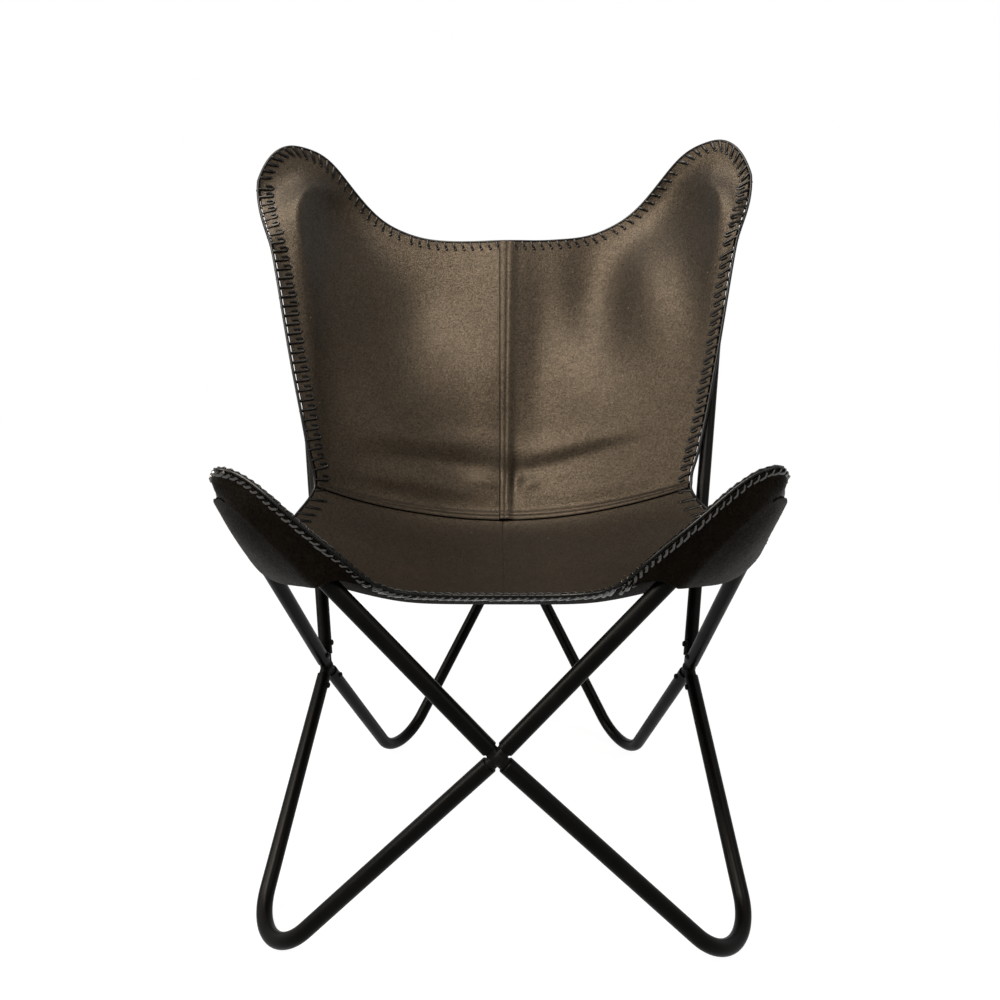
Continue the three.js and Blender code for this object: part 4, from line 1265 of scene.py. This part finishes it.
# Where a pocket lies under the panel, a thong holds two leathers
double = (loop_rows <= EAR_ROWS) & (np.abs(loop_share) >= EAR_POCKET_SHARE)
double |= (loop_rows >= ARM_MOUTH_ROW) & (np.abs(loop_share) >= ARM_POCKET_SHARE)
# For each stretch: pitch, thong's reach, width, height and hook, how far it stands out, and lean in degrees
LACING = {
    "ear_top": (13.5, 15.0, 4.2, 2.0, 0.0, 2.0, 30),
    "top": (13.5, 11.5, 3.2, 1.6, 0.0, 1.6, 24),
    "side_left": (14.0, 18.5, 3.3, 2.0, 6.0, 4.6, 6),
    "side_right": (14.0, 17.0, 3.6, 2.0, 5.0, 4.6, 28),
    "flare": (18.0, 21.0, 3.4, 1.8, 0.0, 1.8, 34),
    "arm": (8.5, 15.0, 4.2, 2.6, 0.0, 2.0, 64),
    "front": (8.0, 13.0, 4.2, 2.6, 0.0, 2.0, 62),
}
# How high a knot sits on the leather, and its size
KNOT_RISE = 0.5
HOLE_KNOT = (5.4, 5.4, 2.0)
# Shares by which thongs and knots differ in size, and the seeds of these differences
THONG_UNEVENNESS = 0.07
KNOT_UNEVENNESS = 0.08
FIRST_THONG_SEED = 3
KNOT_SEED = 21
# A stretch of fewer points than this is not laced
SHORTEST_RUN = 3
# Stretches whose holes show as dark knots, those that lean the other way on the right, and those of braid
KNOTTED = ("ear_top", "top", "flare")
MIRRORED_LEAN = ("flare",)
BRAIDED = ("arm", "front")


# Unbroken runs of the chosen points
def runs_of(chosen):
    numbers = np.flatnonzero(chosen)
    return np.split(numbers, np.flatnonzero(np.diff(numbers) > 1) + 1)


sling_cloud = sling.reshape(-1, 3)
normal_cloud = sling_normals.reshape(-1, 3)


# Turns directions from the rim so that they meet the leather's face at a distance
def laid_on_face(places, directions, facing, distance):
    aims = places + directions * distance
    nearest = np.array([np.argmin(((sling_cloud - aim) ** 2).sum(1)) for aim in aims])
    rise = ((sling_cloud[nearest] - places) * facing).sum(1)
    turned = units(directions * distance + facing * rise[:, None])
    upright = units(facing - turned * (facing * turned).sum(1)[:, None])
    return turned, upright, normal_cloud[nearest]


# Places at an even pitch along a run of the rim, with their directions
def spaced_along(numbers, pitch):
    run = run_along(rim_places[numbers])
    stops = np.arange(pitch / 2, run[-1], pitch)
    places = at_stops(stops, run, rim_places[numbers])
    fields = (rim_along, rim_inward, rim_facing)
    directions = [units(at_stops(stops, run, field[numbers])) for field in fields]
    return places, *directions


bead = bead_shape("bead")
lacing_pieces = []
hole_places, hole_inward, hole_facing = [], [], []
for number, (kind, (pitch, reach, width, height, hook, out, lean)) in enumerate(LACING.items()):
    for layers, under in (("single", 0.0), ("double", LAYER)):
        chosen = edge_kinds[kind] & (double if layers == "double" else ~double)
        gathered = [[], [], []]
        for numbers in runs_of(chosen):
            if len(numbers) < SHORTEST_RUN:
                continue
            places, along, inward, facing = spaced_along(numbers, pitch)
            mirrored = kind in MIRRORED_LEAN and places[0, 0] > 0
            turn = math.radians(-lean if mirrored else lean)
            leaned = inward * math.cos(turn) + along * math.sin(turn)
            leaned, facing, hole_normals = laid_on_face(places, leaned, facing, reach)
            for store, values in zip(gathered, (places, leaned, facing)):
                store.append(values)
            if kind in KNOTTED:
                hole_places.append(places + leaned * reach + hole_normals * (LEATHER / 2 + KNOT_RISE))
                hole_inward.append(leaned)
                hole_facing.append(hole_normals)
        if not gathered[0]:
            continue
        places, leaned, facing = (np.vstack(store) for store in gathered)
        shape = thong_shape(f"thong_{kind}_{layers}", reach, width, height, hook, out, under)
        piece = repeat_along(
            f"lacing_{kind}_{layers}", places, leaned, facing, shape, (1, 1, 1), THONG_UNEVENNESS,
            FIRST_THONG_SEED + number, braid if kind in BRAIDED else thong)
        bpy.data.objects.remove(shape)
        lacing_pieces.append(piece)
lacing_pieces.append(repeat_along(
    "lacing_hole_knots", np.vstack(hole_places), np.vstack(hole_inward), np.vstack(hole_facing), bead,
    HOLE_KNOT, KNOT_UNEVENNESS, KNOT_SEED, thong))


# A cord along a closed path
def cord_tree():
    tree = new_tree("cord_along_path", {
        "Path": "Geometry", "Cord Radius": "Float", "Cord Sides": "Int", "Finish": "Material",
    }, "Cord")
    given = add_node(tree, "NodeGroupInput").outputs
    line = add_node(tree, "GeometryNodeMeshToCurve", inputs={"Mesh": given["Path"]})
    round_section = add_node(tree, "GeometryNodeCurvePrimitiveCircle", inputs={
        "Resolution": given["Cord Sides"], "Radius": given["Cord Radius"]})
    swept = add_node(tree, "GeometryNodeCurveToMesh", inputs={
        "Curve": line.outputs["Curve"], "Profile Curve": round_section.outputs["Curve"]})
    end_tree(tree, swept.outputs["Mesh"], given["Finish"], "Cord")
    return tree


RIM_CORD_RADIUS = 2.1
RIM_CORD_SIDES = 8
RIM_CORD_STEP = 4.0
# How far the cord lies outside the rim, and in how many rounds it eases from one to the other
RIM_CORD_OUT = {"side": 3.8, "braided": 0.2, "other": 1.8}
RIM_CORD_ROUNDS = 12


def rim_cord():
    on_back_side = edge_kinds["side_left"] | edge_kinds["side_right"]
    out = np.where(on_back_side, RIM_CORD_OUT["side"], RIM_CORD_OUT["other"])
    out = np.where(edge_kinds["arm"] | edge_kinds["front"], RIM_CORD_OUT["braided"], out)
    for _ in range(RIM_CORD_ROUNDS):
        out = (np.roll(out, 1) + out + np.roll(out, -1)) / 3
    line = rim_places - rim_inward * out[:, None]
    closed = np.vstack([line, line[:1]])
    run = run_along(closed)
    stops = np.linspace(0, run[-1], int(run[-1] / RIM_CORD_STEP), endpoint=False)
    points = at_stops(stops, run, closed)
    edges = [(i, (i + 1) % len(points)) for i in range(len(points))]
    mesh = bpy.data.meshes.new("rim_cord_path")
    mesh.from_pydata(in_scene(points).tolist(), edges, [])
    piece = made_by(cord_tree(), "lacing_rim_cord", add_object("rim_cord_path", mesh), {
        "Cord Radius": RIM_CORD_RADIUS * MM, "Cord Sides": RIM_CORD_SIDES, "Finish": thong})
    face_out(piece.data)
    return piece


lacing_pieces.append(rim_cord())


# Seam stitches: two rows on the centre back seam, and two along the seam between back and seat
STITCH_PITCH = 4.2
STITCH_SIZE = (3.6, 0.9, 0.8)
STITCH_UNEVENNESS = 0.05
STITCH_SEED = 31


# Places, directions and facings of the stitches along a line
def stitches_on(points, normals):
    run = run_along(points)
    stops = np.arange(STITCH_PITCH, run[-1] - STITCH_PITCH / 2, STITCH_PITCH)
    return [at_stops(stops, run, field) for field in (points, np.gradient(points, axis=0), normals)]


stitch_column = int(round(SEAM_STITCH_OUT / (SEAM_LAP / 2) * LAP_COLUMNS))
stitch_row = int(round(SEAM_STITCH_OUT / (SEAM_LAP / 2) * LAP_ROWS / 2))
stitch_lines = []
for side in (-1, 1):
    column = LAP_COLUMNS + side * stitch_column
    face = back_right_points[:, column] + back_right_normals[:, column] * LEATHER / 2
    stitch_lines.append(stitches_on(face, back_right_normals[:, column]))
    row = LAP_ROW + LAP_ROWS // 2 + side * stitch_row
    for points, normals in ((back_left_points, back_left_normals), (back_right_points, back_right_normals)):
        face = points[row] + normals[row] * LEATHER / 2
        stitch_lines.append(stitches_on(face, normals[row]))
stitch_fields = [np.vstack(field) for field in zip(*stitch_lines)]
lacing_pieces.append(repeat_along(
    "seam_stitches", *stitch_fields, bead, STITCH_SIZE, STITCH_UNEVENNESS, STITCH_SEED, thread))
bpy.data.objects.remove(bead)
for piece in lacing_pieces:
    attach(piece, "root")


# Camera, at the photograph's place
CAMERA_PLACE = np.array([31.8, -1074.6, 594.4])
CAMERA_YAW = math.radians(-2.0)
CAMERA_PITCH = math.radians(-8.9)
CAMERA_ROLL = math.radians(-0.4)
CAMERA_LENS = 32.4
SENSOR_WIDTH = 36
NEAREST_SEEN = 0.01


def add_camera():
    ahead = Vector((
        math.sin(CAMERA_YAW) * math.cos(CAMERA_PITCH), math.cos(CAMERA_YAW) * math.cos(CAMERA_PITCH),
        math.sin(CAMERA_PITCH)))
    level = Vector((math.cos(CAMERA_YAW), -math.sin(CAMERA_YAW), 0))
    upright = level.cross(ahead)
    right_hand = level * math.cos(CAMERA_ROLL) + upright * math.sin(CAMERA_ROLL)
    top = upright * math.cos(CAMERA_ROLL) - level * math.sin(CAMERA_ROLL)
    data = bpy.data.cameras.new("photo_camera")
    data.lens = CAMERA_LENS
    data.sensor_width = SENSOR_WIDTH
    data.sensor_fit = "HORIZONTAL"
    data.clip_start = NEAREST_SEEN
    camera = add_object("photo_camera", data)
    turn = Matrix((right_hand, top, -ahead)).transposed().to_4x4()
    camera.matrix_world = Matrix.Translation(Vector(in_scene(CAMERA_PLACE))) @ turn
    scene.camera = camera


add_camera()


# Lamps: place and target, size in metres, power in watts, tint, and whether only reflections show them
def add_lamp(name, place, target, size, power, tint, in_reflections_only=False):
    data = bpy.data.lights.new(name, "AREA")
    data.shape = "RECTANGLE"
    data.size = size[0]
    data.size_y = size[1]
    data.energy = power
    data.color = colour(tint)[:3]
    lamp = add_object(name, data)
    lamp.location = place
    lamp.rotation_euler = (Vector(target) - Vector(place)).to_track_quat("-Z", "Y").to_euler()
    lamp.visible_diffuse = not in_reflections_only


WARM_WHITE = "#fff4e6"
add_lamp("key_softbox", (-1.3, -1.5, 2.5), (0, 0.1, 0.6), (1.2, 1.2), 50, WARM_WHITE)
add_lamp("fill_softbox", (2.0, -1.2, 1.8), (0, 0.1, 0.5), (0.8, 1.4), 14, "#fff8f0")
add_lamp("sheen_panel", (-0.6, -0.95, 2.95), (0, 0.15, 0.6), (1.1, 2.2), 280, WARM_WHITE, True)
add_lamp("left_panel", (-2.2, -0.7, 1.6), (0, 0.15, 0.7), (0.8, 1.6), 90, WARM_WHITE, True)
add_lamp("right_panel", (1.5, -1.0, 2.5), (-0.1, 0.2, 0.5), (0.6, 0.6), 18, WARM_WHITE, True)

# White paper floor and backdrop: where they are seen directly or in a gloss, they glow white
WHITE = "#ffffff"
PAPER_GLOW = 0.82
PAPER_STRENGTH = 1.18
ROOM_STRENGTH = 0.32
FLOOR_REACH = 8.0
FLOOR_DROP = 0.0005
FLOOR_CORNERS = [(-1, -1), (1, -1), (1, 1), (-1, 1)]


# One for rays from the camera and for those that a gloss or glass sends on, nought for all others
def seen_directly(tree):
    path = add_node(tree, "ShaderNodeLightPath")
    glossy = add_node(tree, "ShaderNodeMath", {"operation": "MAXIMUM"}, {
        0: path.outputs["Is Camera Ray"], 1: path.outputs["Is Glossy Ray"]})
    return add_node(tree, "ShaderNodeMath", {"operation": "MAXIMUM"}, {
        0: glossy.outputs["Value"], 1: path.outputs["Is Transmission Ray"]}).outputs["Value"]


def add_floor():
    material = bpy.data.materials.new("white_paper_floor")
    material.use_nodes = True
    tree = material.node_tree
    tree.nodes.clear()
    paper = add_node(tree, "ShaderNodeBsdfDiffuse", inputs={"Color": colour("#f4f2ee")})
    glow = add_node(tree, "ShaderNodeEmission", inputs={
        "Color": colour(WHITE), "Strength": PAPER_STRENGTH})
    share = add_node(tree, "ShaderNodeMath", {"operation": "MULTIPLY"}, {
        0: seen_directly(tree), 1: PAPER_GLOW})
    mix = add_node(tree, "ShaderNodeMixShader", inputs={
        0: share.outputs["Value"], 1: paper.outputs["BSDF"], 2: glow.outputs["Emission"]})
    add_node(tree, "ShaderNodeOutputMaterial", inputs={"Surface": mix.outputs["Shader"]})
    mesh = bpy.data.meshes.new("floor")
    corners = [(x * FLOOR_REACH, y * FLOOR_REACH, 0) for x, y in FLOOR_CORNERS]
    mesh.from_pydata(corners, [], [(0, 1, 2, 3)])
    mesh.materials.append(material)
    floor = add_object("floor", mesh)
    floor.location.z = -FLOOR_DROP


def set_world():
    world = bpy.data.worlds.new("studio")
    scene.world = world
    world.use_nodes = True
    tree = world.node_tree
    tree.nodes.clear()
    room = add_node(tree, "ShaderNodeBackground", inputs={
        "Color": colour("#d9d6d0"), "Strength": ROOM_STRENGTH})
    backdrop = add_node(tree, "ShaderNodeBackground", inputs={"Color": colour(WHITE), "Strength": 1.0})
    mix = add_node(tree, "ShaderNodeMixShader", inputs={
        0: seen_directly(tree), 1: room.outputs["Background"], 2: backdrop.outputs["Background"]})
    add_node(tree, "ShaderNodeOutputWorld", inputs={"Surface": mix.outputs["Shader"]})


add_floor()
set_world()
scene.view_settings.view_transform = "Standard"
